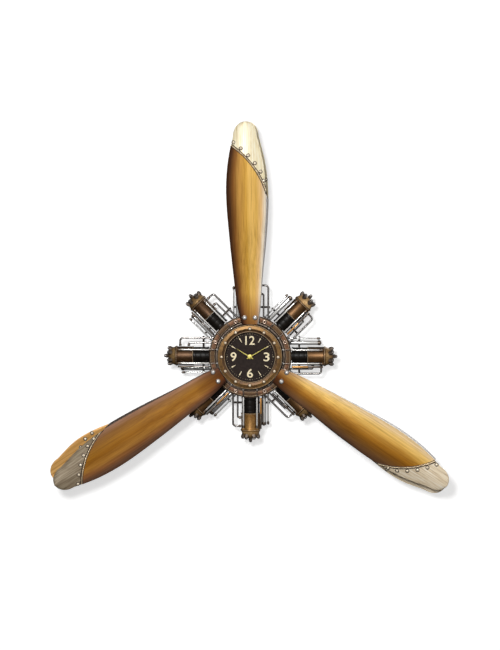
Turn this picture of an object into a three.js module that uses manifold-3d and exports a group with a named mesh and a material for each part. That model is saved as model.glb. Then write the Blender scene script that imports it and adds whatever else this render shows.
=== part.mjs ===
// Propeller wall clock: a three-blade propeller and an eight-cylinder radial engine around a clock.
// Millimetres. Everything is drawn in a working frame with x to the right, y up and z out from the
// wall towards the room; the outer group turns that frame so that +Z is up and the front faces -Y.
import * as THREE from 'three';
import { mergeVertices } from 'three/addons/utils/BufferGeometryUtils.js';
import Module from 'manifold-3d';

const wasm = await Module();
wasm.setup();

// ---------- driving dimensions ----------
const GAP = 0.3; // clearance between touching pieces

// depths above the wall
const CASE_TOP = 56; // front of the crankcase
const RING_BACK = 58.3; // back of the crankcase ring
const RING_TOP = 62; // front of the crankcase ring
const DIAL_BACK = 71.5;
const DIAL_TOP = 73;
const BEZEL_TOP = 84;

// hub radii
const CASE_FLAT = 96; // crankcase axis to each cylinder pad
const CASE_BORE = 86;
const ACCESS_RADIUS = 46; // opening behind the movement, crossed by an upright bar
const BAR_HALF = 12;
const RING_RADIUS = 105;
const BEZEL_RADIUS = 82;
const DIAL_OPENING = 63;
const RIVET_CIRCLE = 72;

// engine
const CYLINDERS = 8;
const CYLINDER_DEPTH = 45; // cylinder axis above the wall
const BARREL_RADIUS = 22.5;
const NECK_RADIUS = 10.5; // behind the crankcase ring
const NECK_END = 105.6;
const HEAD_RADIUS = 24;
const BARREL_END = 145; // hub axis to the joint between barrel and head
const COLLAR_START = 187;
const HEAD_END = 211;
const ROD_OFFSET = 17.3; // push rod to cylinder axis, sideways
const ROD_DEPTH = 66;
const ROD_RADIUS = 2.25;
const ROD_END = 183;

// propeller
const BLADE_ANGLES = { top: 90.1, left: 212.4, right: 326.1 };
const ROOT_ANGLES = { top: 90, left: 210, right: 330 };
const ROOT_START = 83.2; // hub axis to the foot of a blade
const TIP_START = 560; // where the round tip begins
const TIP_END = 597; // hub axis to the tip
const BOLT_CIRCLE = 100.5;
const BOLT_OFFSET = 13.3; // each blade bolt to the root's centre line
const BOLT_SEAT = 84.7; // underside of a blade bolt's round head
const SHANK_RADIUS = 1.5;
const LEAF = 5; // thickness of a tip cap's flat part
// how far a back cap stands out towards the leading edge, near the wood and at the tip
const LEAF_START = 4;
const LEAF_SHIFT = { top: 2, left: 21, right: 14 };
const LEAF_FROM = 400; // where the shift begins, and the length over which it builds up
const LEAF_RUN = 130;
const CAP_CENTRE = new THREE.Vector2(353.5, 167); // centre of the arc where wood meets cap
const CAP_RADIUS = 218;
const CAP_RIVET_RADIUS = 228;
const CAP_RIVETS = 5;
const CAP_RIVET_FIRST = 33.2; // degrees around the arc centre
const CAP_RIVET_STEP = 6.5;

// clock movement
const GEAR_SPACING = 10; // centre wheel to setting wheel
const CASE_HALF = 28; // half the side of the square movement case
const WALL = 1.5;
const HOUR_ANGLE = 149; // direction of the hour hand, counter-clockwise from +x
const MINUTE_ANGLE = 31;

const RING_SEGMENTS = 32;
const ROUND_SEGMENTS = 12;
const SMALL_SEGMENTS = 6;
const ROD_SEGMENTS = 5;

// ---------- materials ----------
function finish(color, roughness, metalness) {
  return new THREE.MeshStandardMaterial({ color, roughness, metalness });
}
const WOOD = finish('#a9762f', 0.35, 0.1);
const BRONZE = finish('#8a5f28', 0.4, 0.85);
const DARK_BRONZE = finish('#4a3018', 0.5, 0.8);
const CHAMPAGNE = finish('#d8c9a4', 0.3, 0.8);
const BLACK = finish('#0d0c0c', 0.15, 0.2);
const CHROME = finish('#c9ccd0', 0.12, 1);
const STEEL = finish('#6f6f70', 0.4, 0.9);
const GOLD = finish('#e2b95a', 0.25, 1);
const DIAL_BLACK = finish('#1a1718', 0.6, 0);
const PLASTIC = finish('#1c1c1e', 0.5, 0);
const BRASS = finish('#b08d3c', 0.35, 1);

// ---------- solids ----------
// A closed surface as a solid: corners welded, slivers dropped, faces turned outwards.
function toSolid(source) {
  const bare = source.clone();
  for (const name of ['normal', 'uv', 'uv1']) bare.deleteAttribute(name);
  const welded = mergeVertices(bare, 1e-4);
  const place = welded.attributes.position;
  const corners = welded.index.array;
  const triangles = [];
  const a = new THREE.Vector3();
  const b = new THREE.Vector3();
  const c = new THREE.Vector3();
  let volume = 0;
  for (let i = 0; i < corners.length; i += 3) {
    const [p, q, r] = [corners[i], corners[i + 1], corners[i + 2]];
    if (p === q || q === r || r === p) continue;
    triangles.push([p, q, r]);
    a.fromBufferAttribute(place, p);
    b.fromBufferAttribute(place, q);
    c.fromBufferAttribute(place, r);
    volume += a.dot(b.cross(c));
  }
  const outward = volume > 0 ? triangles : triangles.map(([p, q, r]) => [p, r, q]);
  const vertProperties = new Float32Array(place.array);
  const triVerts = new Uint32Array(outward.flat());
  return new wasm.Manifold(new wasm.Mesh({ numProp: 3, vertProperties, triVerts }));
}

function toGeometry(solid) {
  const mesh = solid.getMesh();
  const geometry = new THREE.BufferGeometry();
  geometry.setAttribute('position', new THREE.BufferAttribute(new Float32Array(mesh.vertProperties), 3));
  geometry.setIndex(new THREE.BufferAttribute(new Uint32Array(mesh.triVerts), 1));
  geometry.computeVertexNormals();
  return geometry;
}

function union(...solids) {
  return solids.reduce((whole, solid) => whole.add(solid));
}

// Turned about z; the profile is a closed loop of [radius, z], or starts and ends on the axis.
function turned(profile, segments = RING_SEGMENTS) {
  const points = profile.map(([radius, z]) => new THREE.Vector2(radius, z));
  if (profile[0][0] > 0) points.push(points[0].clone());
  return toSolid(new THREE.LatheGeometry(points, segments).rotateX(Math.PI / 2));
}

// The same, turned about the radial x axis of a cylinder of the engine.
function turnedAlongX(profile, segments = ROUND_SEGMENTS) {
  const points = profile.map(([radius, x]) => new THREE.Vector2(radius, x));
  const geometry = new THREE.LatheGeometry(points, segments).rotateZ(-Math.PI / 2);
  return toSolid(geometry.translate(0, 0, CYLINDER_DEPTH));
}

function disc(radius, low, high, segments = RING_SEGMENTS, x = 0, y = 0) {
  const geometry = new THREE.CylinderGeometry(radius, radius, high - low, segments).rotateX(Math.PI / 2);
  return toSolid(geometry.translate(x, y, (low + high) / 2));
}

function box(x0, x1, y0, y1, z0, z1) {
  const geometry = new THREE.BoxGeometry(x1 - x0, y1 - y0, z1 - z0);
  return toSolid(geometry.translate((x0 + x1) / 2, (y0 + y1) / 2, (z0 + z1) / 2));
}

function slab(shape, low, high, curveSegments = 12) {
  const options = { depth: high - low, bevelEnabled: false, curveSegments };
  return toSolid(new THREE.ExtrudeGeometry(shape, options).translate(0, 0, low));
}

function rod(from, to, radius, segments = ROD_SEGMENTS) {
  const along = to.clone().sub(from);
  const geometry = new THREE.CylinderGeometry(radius, radius, along.length(), segments);
  const heading = along.clone().normalize();
  const turn = new THREE.Quaternion().setFromUnitVectors(new THREE.Vector3(0, 1, 0), heading);
  geometry.applyQuaternion(turn);
  const middle = from.clone().add(to).multiplyScalar(0.5);
  return toSolid(geometry.translate(middle.x, middle.y, middle.z));
}

function pipe(points, radius, steps) {
  const outline = new THREE.Shape();
  outline.absarc(0, 0, radius, 0, 2 * Math.PI);
  const extrudePath = new THREE.CatmullRomCurve3(points, false, 'catmullrom', 0.4);
  const options = { steps, extrudePath, curveSegments: 3 };
  return toSolid(new THREE.ExtrudeGeometry(outline, options));
}

// A round head that sits on a surface at height z.
function dome(radius, height, x, y, z) {
  const profile = [[0, -0.6], [radius, -0.6], [radius * 0.8, height * 0.6], [0, height]];
  const points = profile.map(([r, h]) => new THREE.Vector2(r, h));
  const geometry = new THREE.LatheGeometry(points, SMALL_SEGMENTS).rotateX(Math.PI / 2);
  return toSolid(geometry.translate(x, y, z));
}

// Skin over a row of rings that all have the same number of points.
function loft(rings) {
  const count = rings[0].length;
  const positions = rings.flat().flatMap((point) => [point.x, point.y, point.z]);
  const index = [];
  for (let i = 0; i + 1 < rings.length; i += 1) {
    for (let j = 0; j < count; j += 1) {
      const next = (j + 1) % count;
      const near = i * count;
      const far = near + count;
      index.push(near + j, near + next, far + next, near + j, far + next, far + j);
    }
  }
  const last = (rings.length - 1) * count;
  for (let j = 1; j + 1 < count; j += 1) {
    index.push(0, j + 1, j, last, last + j, last + j + 1);
  }
  const geometry = new THREE.BufferGeometry();
  geometry.setAttribute('position', new THREE.Float32BufferAttribute(positions, 3));
  geometry.setIndex(index);
  return toSolid(geometry);
}

function polar(radius, degrees) {
  const angle = THREE.MathUtils.degToRad(degrees);
  return new THREE.Vector2(radius * Math.cos(angle), radius * Math.sin(angle));
}

// ---------- scene graph ----------
const clock = new THREE.Group();
const front = new THREE.Group();
front.rotation.x = Math.PI / 2;
clock.add(front);

function place(parent, name, solid, material) {
  const mesh = new THREE.Mesh(toGeometry(solid), material);
  mesh.name = name;
  parent.add(mesh);
  return mesh;
}

function turnedGroup(degrees) {
  const group = new THREE.Group();
  group.rotation.z = THREE.MathUtils.degToRad(degrees);
  front.add(group);
  return group;
}

// ---------- blade shape ----------
// Edge curves of a blade, [distance from the hub axis, sideways]; the blade points along +x and
// its leading (clockwise) edge is on the -y side.
const TRAILING_EDGE = [[83, 20], [127, 31], [208, 41], [300, 50.5], [411, 58.5], [488, 55], [560, 42]];
const LEADING_EDGE = [[83, -20], [127, -26], [208, -31], [300, -38], [411, -42.5], [488, -37], [560, -20]];
const STATIONS = [83.2, 105, 127, 165, 208, 250, 300, 355, 411, 450, 488, 525, 560, 575, 586, 593.5, 596.6];

function alongSpline(points, x) {
  const last = points.length - 2;
  let i = points.findIndex((point, k) => k <= last && x <= points[k + 1][0]);
  if (i < 0) i = last;
  const [x1, y1] = points[i];
  const [x2, y2] = points[i + 1];
  const [x0, y0] = points[Math.max(i - 1, 0)];
  const [x3, y3] = points[Math.min(i + 2, points.length - 1)];
  const span = x2 - x1;
  const m1 = ((y2 - y0) / (x2 - x0)) * span;
  const m2 = ((y3 - y1) / (x3 - x1)) * span;
  const t = (x - x1) / span;
  const t2 = t * t;
  const t3 = t2 * t;
  return (2 * t3 - 3 * t2 + 1) * y1 + (t3 - 2 * t2 + t) * m1 + (3 * t2 - 2 * t3) * y2 + (t3 - t2) * m2;
}

// Both edges at a station; beyond TIP_START the blade closes as half an ellipse.
function edges(x) {
  const trailing = alongSpline(TRAILING_EDGE, Math.min(x, TIP_START));
  const leading = alongSpline(LEADING_EDGE, Math.min(x, TIP_START));
  if (x <= TIP_START) return { trailing, leading };
  const t = (x - TIP_START) / (TIP_END - TIP_START);
  const middle = (trailing + leading) / 2;
  const half = ((trailing - leading) / 2) * Math.sqrt(1 - t * t);
  return { trailing: middle + half, leading: middle - half };
}

function ramp(x, from, to) {
  return THREE.MathUtils.smoothstep(x, from, to);
}
const backDepth = (x) => 72 - 25 * ramp(x, 230, 420);
const edgeDepth = (x) => 82 + 10 * ramp(x, 110, 400);
const backSpread = (x) => 2 + 3 * ramp(x, 150, 330); // back face past the leading edge
const crown = (x) => 2 + 10 * ramp(x, 110, 330) - 7 * ramp(x, 430, 595);

// Cross-sections of a blade. `inset` shrinks the outline, `drop` lowers the front, and the body
// runs from `low(x)` up to the crowned front, or to `high(x)` when that is given. A flared body is
// wider at its back.
function bladeSolid(options) {
  const { from = ROOT_START, inset = 0, drop = 0 } = options;
  const { low = backDepth, high = null, shift = () => 0, flared = false } = options;
  const xs = STATIONS.filter((x) => x >= from);
  const across = 6; // flats across the crowned front
  const rings = xs.map((x) => {
    const { trailing, leading } = edges(x);
    const shrink = Math.min(inset, (trailing - leading) / 3);
    const trailingSpread = flared ? 2 * ramp(x, 120, 400) : 0;
    const leadingSpread = flared ? backSpread(x) : 0;
    const ring = [];
    const top = (high ?? edgeDepth)(x);
    ring.push(new THREE.Vector3(x, trailing - shrink + trailingSpread + shift(x), low(x)));
    for (let i = 0; i <= across; i += 1) {
      const t = 1 - (2 * i) / across;
      const y = THREE.MathUtils.mapLinear(t, 1, -1, trailing - shrink, leading + shrink) + shift(x);
      const rise = high ? 0 : crown(x) * (1 - t * t) - drop;
      ring.push(new THREE.Vector3(x, y, top + rise));
    }
    ring.push(new THREE.Vector3(x, leading + shrink - leadingSpread + shift(x), low(x)));
    return ring;
  });
  return loft(rings);
}

function frontHeight(x, y) {
  const { trailing, leading } = edges(x);
  const t = (2 * y - trailing - leading) / (trailing - leading);
  return edgeDepth(x) + crown(x) * (1 - t * t);
}

// Everything beyond the arc of the given radius, as a cutter through the blade's whole depth.
function beyondArc(radius) {
  const outer = box(375, 700, -150, 150, 20, 140);
  const round = disc(radius, 10, 150, 96, CAP_CENTRE.x, CAP_CENTRE.y);
  return outer.subtract(round);
}

function rivetPlaces() {
  return Array.from({ length: CAP_RIVETS }, (_, k) => {
    const around = polar(CAP_RIVET_RADIUS, -(CAP_RIVET_FIRST + k * CAP_RIVET_STEP));
    return around.add(CAP_CENTRE);
  });
}

// The six blade bolts, seen from a frame that is turned about the hub by the given degrees.
function boltPlaces(turn = 0) {
  return Object.values(ROOT_ANGLES).flatMap((angle) => [-1, 1].map((side) => {
    const spot = new THREE.Vector2(BOLT_CIRCLE, side * BOLT_OFFSET);
    return spot.rotateAround(new THREE.Vector2(), THREE.MathUtils.degToRad(angle - turn));
  }));
}

function drilledForBolts(solid, turn = 0) {
  return boltPlaces(turn).reduce((rest, spot) => {
    return rest.subtract(disc(SHANK_RADIUS + GAP + 0.2, 40, 120, SMALL_SEGMENTS, spot.x, spot.y));
  }, solid);
}

// ---------- propeller ----------
function buildBlade(side) {
  const group = turnedGroup(BLADE_ANGLES[side]);
  const tip = beyondArc(CAP_RADIUS);
  const wood = bladeSolid({ flared: true }).subtract(tip);
  place(group, `blade_${side}`, drilledForBolts(wood, BLADE_ANGLES[side]), WOOD);

  const capZone = beyondArc(CAP_RADIUS + GAP);
  const leafFloor = (x) => edgeDepth(x) - LEAF;
  const backTop = (x) => backDepth(x) + LEAF;
  const leafShift = (x) => {
    const share = THREE.MathUtils.clamp((x - LEAF_FROM) / LEAF_RUN, 0, 1);
    return -LEAF_START - (LEAF_SHIFT[side] - LEAF_START) * Math.sin((Math.PI / 2) * share);
  };
  let frontCap = bladeSolid({ from: 350, inset: 0.8, drop: 1.2, low: leafFloor }).intersect(capZone);
  let backCap = bladeSolid({ from: 350, inset: 0, high: backTop, shift: leafShift }).intersect(capZone);
  const ribFloor = (x) => backDepth(x) + LEAF + GAP;
  const ribTop = (x) => edgeDepth(x) - LEAF - GAP;
  const ribArc = beyondArc(CAP_RADIUS + GAP).subtract(beyondArc(CAP_RIVET_RADIUS + 4.5));
  let rib = bladeSolid({ from: 350, inset: 5, low: ribFloor, high: ribTop }).intersect(ribArc);
  for (const spot of rivetPlaces()) {
    const level = frontHeight(spot.x, spot.y) - 1.2;
    const backLevel = backDepth(spot.x);
    const { trailing, leading } = edges(spot.x);
    const y = THREE.MathUtils.clamp(spot.y, leading + 8.5, trailing - 7.5);
    const seat = disc(4.8, level, 120, SMALL_SEGMENTS, spot.x, y);
    frontCap = frontCap.subtract(disc(1.9, 60, 120, ROD_SEGMENTS, spot.x, y)).subtract(seat);
    backCap = backCap.subtract(disc(1.9, 30, 70, ROD_SEGMENTS, spot.x, y));
    const shank = disc(1.4, backLevel + 1, level + 1, ROD_SEGMENTS, spot.x, y);
    rib = union(rib, shank, dome(4.4, 2.8, spot.x, y, level + 0.9));
  }
  place(group, `tip_cap_front_${side}`, frontCap, CHAMPAGNE);
  place(group, `tip_cap_back_${side}`, backCap, CHAMPAGNE);
  place(group, `tip_rib_${side}`, rib, GOLD);
}

function buildBladeBolts() {
  let solid = turned([[88, CASE_TOP + GAP], [104.5, CASE_TOP + GAP], [104.5, 58], [88, 58]]);
  for (const spot of boltPlaces()) {
    const shank = disc(SHANK_RADIUS, 57, BOLT_SEAT + 0.5, ROD_SEGMENTS, spot.x, spot.y);
    solid = union(solid, shank, dome(5.4, 4.2, spot.x, spot.y, BOLT_SEAT));
  }
  place(front, 'blade_bolts', solid, CHROME);
}

// ---------- crankcase ----------
function buildCrankcase() {
  const outline = new THREE.Shape();
  for (let k = 0; k < CYLINDERS; k += 1) {
    const corner = polar(CASE_FLAT / Math.cos(Math.PI / CYLINDERS), 22.5 + k * 45);
    if (k === 0) outline.moveTo(corner.x, corner.y);
    else outline.lineTo(corner.x, corner.y);
  }
  outline.closePath();
  const bore = new THREE.Path();
  bore.absarc(0, 0, CASE_BORE, 0, 2 * Math.PI, true);
  outline.holes.push(bore);
  place(front, 'crankcase', slab(outline, 3 + GAP, CASE_TOP, 18), DARK_BRONZE);

  const plate = new THREE.Shape();
  plate.absarc(0, 0, 94, 0, 2 * Math.PI);
  const access = [0, Math.PI].map((turn) => {
    const reach = Math.acos(BAR_HALF / ACCESS_RADIUS);
    const window = new THREE.Path();
    window.absarc(0, 0, ACCESS_RADIUS, turn + reach, turn - reach, true);
    window.closePath();
    return window;
  });
  const keyhole = new THREE.Path();
  keyhole.absarc(0, 64, 5, THREE.MathUtils.degToRad(60), THREE.MathUtils.degToRad(120), true);
  keyhole.absarc(0, 78, 2.5, Math.PI, 0, true);
  keyhole.closePath();
  plate.holes.push(...access, keyhole);
  place(front, 'back_plate', slab(plate, 0, 3, 12), STEEL);

  const ringProfile = [[76, RING_BACK], [RING_RADIUS, RING_BACK], [RING_RADIUS, 63.4], [103, 63.4],
    [103, RING_TOP], [76, RING_TOP]];
  place(front, 'crankcase_ring', drilledForBolts(turned(ringProfile)), DARK_BRONZE);

  const low = RING_TOP + GAP;
  let band = drilledForBolts(turned([[90.5, low], [102.5, low], [102.5, 63.4], [90.5, 63.4]]));
  for (let k = 0; k < CYLINDERS; k += 1) {
    const spot = polar(95, 22.5 + k * 45);
    const bolt = disc(4, 63, 66.5, ROD_SEGMENTS, spot.x, spot.y);
    band = band.add(bolt.subtract(disc(1.8, 64, 70, ROD_SEGMENTS, spot.x, spot.y)));
  }
  place(front, 'clamp_band', band, BRONZE);
}

// ---------- engine cylinders ----------
function buildPushRods() {
  const low = RING_TOP + GAP;
  let solid = turned([[84.2, low], [87.8, low], [87.8, 65.5], [84.2, 65.5]]);
  for (let k = 0; k < CYLINDERS; k += 1) {
    for (const side of [-1, 1]) {
      const from = new THREE.Vector2(83.4, side * ROD_OFFSET);
      const to = new THREE.Vector2(ROD_END, side * ROD_OFFSET);
      const turn = THREE.MathUtils.degToRad(k * 45);
      for (const end of [from, to]) end.rotateAround(new THREE.Vector2(), turn);
      const start = new THREE.Vector3(from.x, from.y, ROD_DEPTH);
      const stop = new THREE.Vector3(to.x, to.y, ROD_DEPTH);
      solid = solid.add(rod(start, stop, ROD_RADIUS));
    }
  }
  place(front, 'push_rods', solid, CHROME);
}

function headSolid() {
  const profile = [[0, BARREL_END + GAP], [HEAD_RADIUS, BARREL_END + GAP], [HEAD_RADIUS, COLLAR_START],
    [25.5, 188], [25.5, 191], [17, 204], [0, HEAD_END]];
  let head = turnedAlongX(profile);
  for (const side of [-1, 1]) {
    const y = side * ROD_OFFSET;
    head = head.add(box(176, 186, y - 3, y + 3, CYLINDER_DEPTH + 8, ROD_DEPTH - ROD_RADIUS - GAP));
  }
  const nuts = 6;
  for (let k = 0; k < nuts; k += 1) {
    const spot = polar(17, 30 + k * 60);
    const from = new THREE.Vector3(196, spot.x, CYLINDER_DEPTH + spot.y);
    const to = new THREE.Vector3(214, spot.x, CYLINDER_DEPTH + spot.y);
    head = head.add(rod(from, to, 4.8));
  }
  const apex = [207, 220].map((x) => new THREE.Vector3(x, 0, CYLINDER_DEPTH));
  return head.add(rod(apex[0], apex[1], 5));
}

// Two bent pipes on the clockwise side and two straight tubes on the other, on one bracket bar. A
// third straight tube lies close to the barrel on its lower side, clockwise (-1) or not (1).
function pipeSolid(lowerSide) {
  const barLow = 6;
  const bentDepth = 40;
  const straightDepth = 27;
  let solid = box(120, 125, -48, 48, barLow, barLow + 3.5);
  const bent = [
    { side: -45, start: 95, bend: 166, fitting: 180, radius: 2.6 },
    { side: -33, start: 97, bend: 146, fitting: 158, radius: 2.3 },
  ];
  for (const { side, start, bend, fitting, radius } of bent) {
    const corner = new THREE.Vector3(fitting - 2, side + 3, bentDepth);
    const points = [
      new THREE.Vector3(start, side, bentDepth),
      new THREE.Vector3(bend, side, bentDepth),
      corner,
      new THREE.Vector3(fitting, -25.5, bentDepth),
    ];
    solid = solid.add(pipe(points, radius, 7));
    const foot = new THREE.Vector3(fitting, -24.4, bentDepth);
    solid = solid.add(rod(foot, new THREE.Vector3(fitting, -29, bentDepth), 3.4));
    solid = solid.add(box(121.5, 123.5, side - 1, side + 1, barLow + 1, bentDepth));
  }
  const straight = [
    { side: 44, start: 94.5, end: 172, radius: 2 },
    { side: 33, start: 97, end: 174, radius: 5.4 },
  ];
  for (const { side, start, end, radius } of straight) {
    const from = new THREE.Vector3(start, side, straightDepth);
    const to = new THREE.Vector3(end, side, straightDepth);
    solid = solid.add(rod(from, to, radius));
    solid = solid.add(box(121.5, 123.5, side - 1, side + 1, barLow + 1, straightDepth));
    const cap = new THREE.Vector3(end - 1, side, straightDepth);
    solid = solid.add(rod(cap, new THREE.Vector3(end + 5, side, straightDepth), radius + 1));
  }
  const besideBarrel = [106, 185].map((x) => new THREE.Vector3(x, lowerSide * 26.5, 57));
  solid = solid.add(rod(besideBarrel[0], besideBarrel[1], 2.8));
  const strut = [lowerSide * 26.5 - 0.8, lowerSide * 26.5 + 0.8];
  return solid.add(box(121.5, 123.5, strut[0], strut[1], barLow + 1, 57));
}

function buildCylinders() {
  const barrelProfile = [[0, CASE_FLAT + GAP], [NECK_RADIUS, CASE_FLAT + GAP], [NECK_RADIUS, NECK_END],
    [BARREL_RADIUS + 1, NECK_END], [BARREL_RADIUS + 1, NECK_END + 2.4], [BARREL_RADIUS, NECK_END + 2.8],
    [BARREL_RADIUS, BARREL_END], [0, BARREL_END]];
  const barrel = turnedAlongX(barrelProfile);
  const head = headSolid();
  const pipes = { clockwise: pipeSolid(-1), other: pipeSolid(1) };
  for (let k = 0; k < CYLINDERS; k += 1) {
    const group = turnedGroup(k * 45);
    const lowerSide = k * 45 < 90 || k * 45 > 270 ? 'clockwise' : 'other';
    place(group, `barrel_${k + 1}`, barrel, BLACK);
    place(group, `cylinder_head_${k + 1}`, head, BRONZE);
    place(group, `pipes_${k + 1}`, pipes[lowerSide], CHROME);
  }
}

// ---------- clock ----------
function buildBezel() {
  const profile = [[79.5, RING_TOP + GAP], [BEZEL_RADIUS, RING_TOP + GAP], [BEZEL_RADIUS, 81.5],
    [RIVET_CIRCLE, BEZEL_TOP], [DIAL_OPENING, 81.5], [DIAL_OPENING, DIAL_TOP + GAP],
    [65, DIAL_TOP + GAP], [65, 80], [79.5, 80]];
  let bezel = turned(profile);
  let rivets = turned([[70, 77], [74, 77], [74, 79.7], [70, 79.7]]);
  for (let k = 0; k < 12; k += 1) {
    const spot = polar(RIVET_CIRCLE, k * 30);
    bezel = bezel.subtract(disc(2, 70, 90, ROD_SEGMENTS, spot.x, spot.y));
    const shank = disc(1.5, 78, BEZEL_TOP + 1, ROD_SEGMENTS, spot.x, spot.y);
    rivets = union(rivets, shank, dome(3.8, 2.6, spot.x, spot.y, BEZEL_TOP + 0.9));
  }
  place(front, 'bezel', bezel, BRONZE);
  place(front, 'bezel_rivets', rivets, GOLD);
}

function buildDial() {
  const dial = new THREE.Shape();
  dial.absarc(0, 0, 66, 0, 2 * Math.PI);
  const hole = new THREE.Path();
  hole.absarc(0, 0, 4.6, 0, 2 * Math.PI, true);
  dial.holes.push(hole);
  place(front, 'dial', slab(dial, DIAL_BACK, DIAL_TOP, 20), DIAL_BLACK);
  const nut = disc(7, DIAL_TOP + GAP, 75.2, 6).subtract(disc(4.6, 70, 80, 12));
  place(front, 'mounting_nut', nut, BRASS);
}

function handSolid({ length, tail, width, bore, hub, low, high, angle }) {
  const outline = new THREE.Shape();
  outline.moveTo(-tail, width * 0.35);
  outline.lineTo(length * 0.3, width / 2);
  outline.lineTo(length, 0.5);
  outline.lineTo(length, -0.5);
  outline.lineTo(length * 0.3, -width / 2);
  outline.lineTo(-tail, -width * 0.35);
  outline.closePath();
  const blade = slab(outline, low, high);
  const eye = disc(hub, low, high, 16);
  const cut = disc(bore, low - 1, high + 1, 12);
  return blade.add(eye).subtract(cut).rotate([0, 0, angle]);
}

function gear(teeth, outer, low, high, x = 0, y = 0) {
  const outline = new THREE.Shape();
  const depth = 0.9;
  for (let k = 0; k < teeth; k += 1) {
    const pitch = 360 / teeth;
    for (const [turn, radius] of [[0, outer - depth], [0.5, outer]]) {
      const corner = polar(radius, (k + turn) * pitch);
      if (k === 0 && turn === 0) outline.moveTo(corner.x, corner.y);
      else outline.lineTo(corner.x, corner.y);
    }
  }
  outline.closePath();
  return slab(outline, low, high).translate([x, y, 0]);
}

function buildMovement() {
  const shellLow = 53;
  const shellHigh = DIAL_BACK - GAP;
  const inner = CASE_HALF - WALL;
  const opening = disc(3.5, 60, 80, 12);
  const bushing = disc(4.2, shellHigh - 1, 76, 16);
  const cavity = box(-inner, inner, -inner, inner, shellLow - 1, shellHigh - WALL);
  let shell = box(-CASE_HALF, CASE_HALF, -CASE_HALF, CASE_HALF, shellLow, shellHigh);
  shell = union(shell, bushing).subtract(cavity).subtract(opening);
  place(front, 'movement_case', shell, PLASTIC);

  const coverLow = 51;
  const cover = box(-CASE_HALF, CASE_HALF, -CASE_HALF, CASE_HALF, coverLow, shellLow - GAP)
    .subtract(disc(2, 40, 60, 12, 0, GEAR_SPACING));
  place(front, 'movement_cover', cover, PLASTIC);

  const cellAt = { y: -18, z: 61.2 };
  const alongCell = (x) => new THREE.Vector3(x, cellAt.y, cellAt.z);
  const cell = rod(alongCell(-24), alongCell(24), 7, 16);
  const button = rod(alongCell(23), alongCell(25.5), 2.7, 8);
  place(front, 'battery', cell.add(button), STEEL);

  place(front, 'circuit_board', box(-25, -10, -8, 25, 67.5, 69), finish('#2f5f38', 0.6, 0));
  const core = rod(new THREE.Vector3(-17, -6, 63), new THREE.Vector3(-17, 23, 63), 1.5, 8);
  const winding = rod(new THREE.Vector3(-17, -3, 63), new THREE.Vector3(-17, 20, 63), 3.6, 12);
  place(front, 'motor_coil', core.add(winding), finish('#a3562c', 0.4, 0.6));

  const arbor = disc(1.5, 55, 84.6, 12).add(gear(10, GEAR_SPACING / 4 - 0.15, 58.5, 60.5));
  place(front, 'minute_arbor', arbor, BRASS);
  const tube = disc(3, 63, 79.5, 16).add(gear(32, 0.8 * GEAR_SPACING - 0.15, 63, 64.6));
  place(front, 'hour_wheel', tube.subtract(disc(1.9, 50, 90, 12)), PLASTIC);
  const spindle = disc(0.9, 52, 67, 8, 0, GEAR_SPACING);
  const wheel = gear(30, 0.75 * GEAR_SPACING - 0.15, 58.5, 60.5, 0, GEAR_SPACING);
  const pinion = gear(8, 0.2 * GEAR_SPACING - 0.15, 62.6, 65, 0, GEAR_SPACING);
  place(front, 'setting_wheel', union(spindle, wheel, pinion), PLASTIC);
  const stem = disc(1.6, 48, 51.7, 10, 0, GEAR_SPACING);
  place(front, 'set_knob', gear(18, 8, 44, 48.5, 0, GEAR_SPACING).add(stem), PLASTIC);

  const hourPlan = { length: 40, tail: 9, width: 4.6, bore: 3.3, hub: 5.6 };
  const hourHand = handSolid({ ...hourPlan, low: 77, high: 78, angle: HOUR_ANGLE });
  place(front, 'hour_hand', hourHand, GOLD);
  const minutePlan = { length: 55, tail: 9, width: 3.8, bore: 1.8, hub: 4.4 };
  const minuteHand = handSolid({ ...minutePlan, low: 80.6, high: 81.6, angle: MINUTE_ANGLE });
  place(front, 'minute_hand', minuteHand, GOLD);
  const nut = disc(3, 82, 85.6, 12).subtract(disc(1.8, 80, 84.9, 12));
  place(front, 'hand_nut', nut, GOLD);
}

for (const side of Object.keys(BLADE_ANGLES)) buildBlade(side);
buildBladeBolts();
buildCrankcase();
buildPushRods();
buildCylinders();
buildBezel();
buildDial();
buildMovement();

export default clock;
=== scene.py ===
"""Looks of the propeller wall clock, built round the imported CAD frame.

Every mesh is drawn in millimetres in the clock's own working frame: x to the right, y up and z out
from the wall towards the room. Parts of a blade or of an engine cylinder are drawn along +x and
then turned about the hub axis.
"""

import math

import bpy
import bmesh
from mathutils import Matrix, Vector


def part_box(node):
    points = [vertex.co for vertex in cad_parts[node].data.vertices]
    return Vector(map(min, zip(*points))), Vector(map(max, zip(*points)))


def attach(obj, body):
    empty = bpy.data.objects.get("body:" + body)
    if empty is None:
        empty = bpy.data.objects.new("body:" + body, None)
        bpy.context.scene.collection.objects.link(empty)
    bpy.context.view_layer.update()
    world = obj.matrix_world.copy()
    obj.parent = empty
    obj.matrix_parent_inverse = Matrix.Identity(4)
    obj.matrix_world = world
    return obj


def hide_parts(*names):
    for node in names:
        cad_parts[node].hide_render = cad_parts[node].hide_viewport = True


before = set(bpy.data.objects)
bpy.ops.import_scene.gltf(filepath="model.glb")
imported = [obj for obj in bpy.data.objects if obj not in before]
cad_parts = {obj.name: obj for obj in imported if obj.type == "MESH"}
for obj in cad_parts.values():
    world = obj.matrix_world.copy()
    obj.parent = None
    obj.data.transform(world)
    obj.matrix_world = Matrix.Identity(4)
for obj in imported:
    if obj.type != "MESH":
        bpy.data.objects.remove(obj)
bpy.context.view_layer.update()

MM = 0.001
ROOT = "root_clock"
STAND_UP = Matrix.Rotation(math.pi / 2, 4, "X")


def reach(node, axis):
    """How far a CAD node extends: "x" right, "up", "front" or "back", in millimetres."""
    low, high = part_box(node)
    return {"x": high.x, "up": high.z, "front": -low.y, "back": -high.y}[axis] / MM


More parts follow.
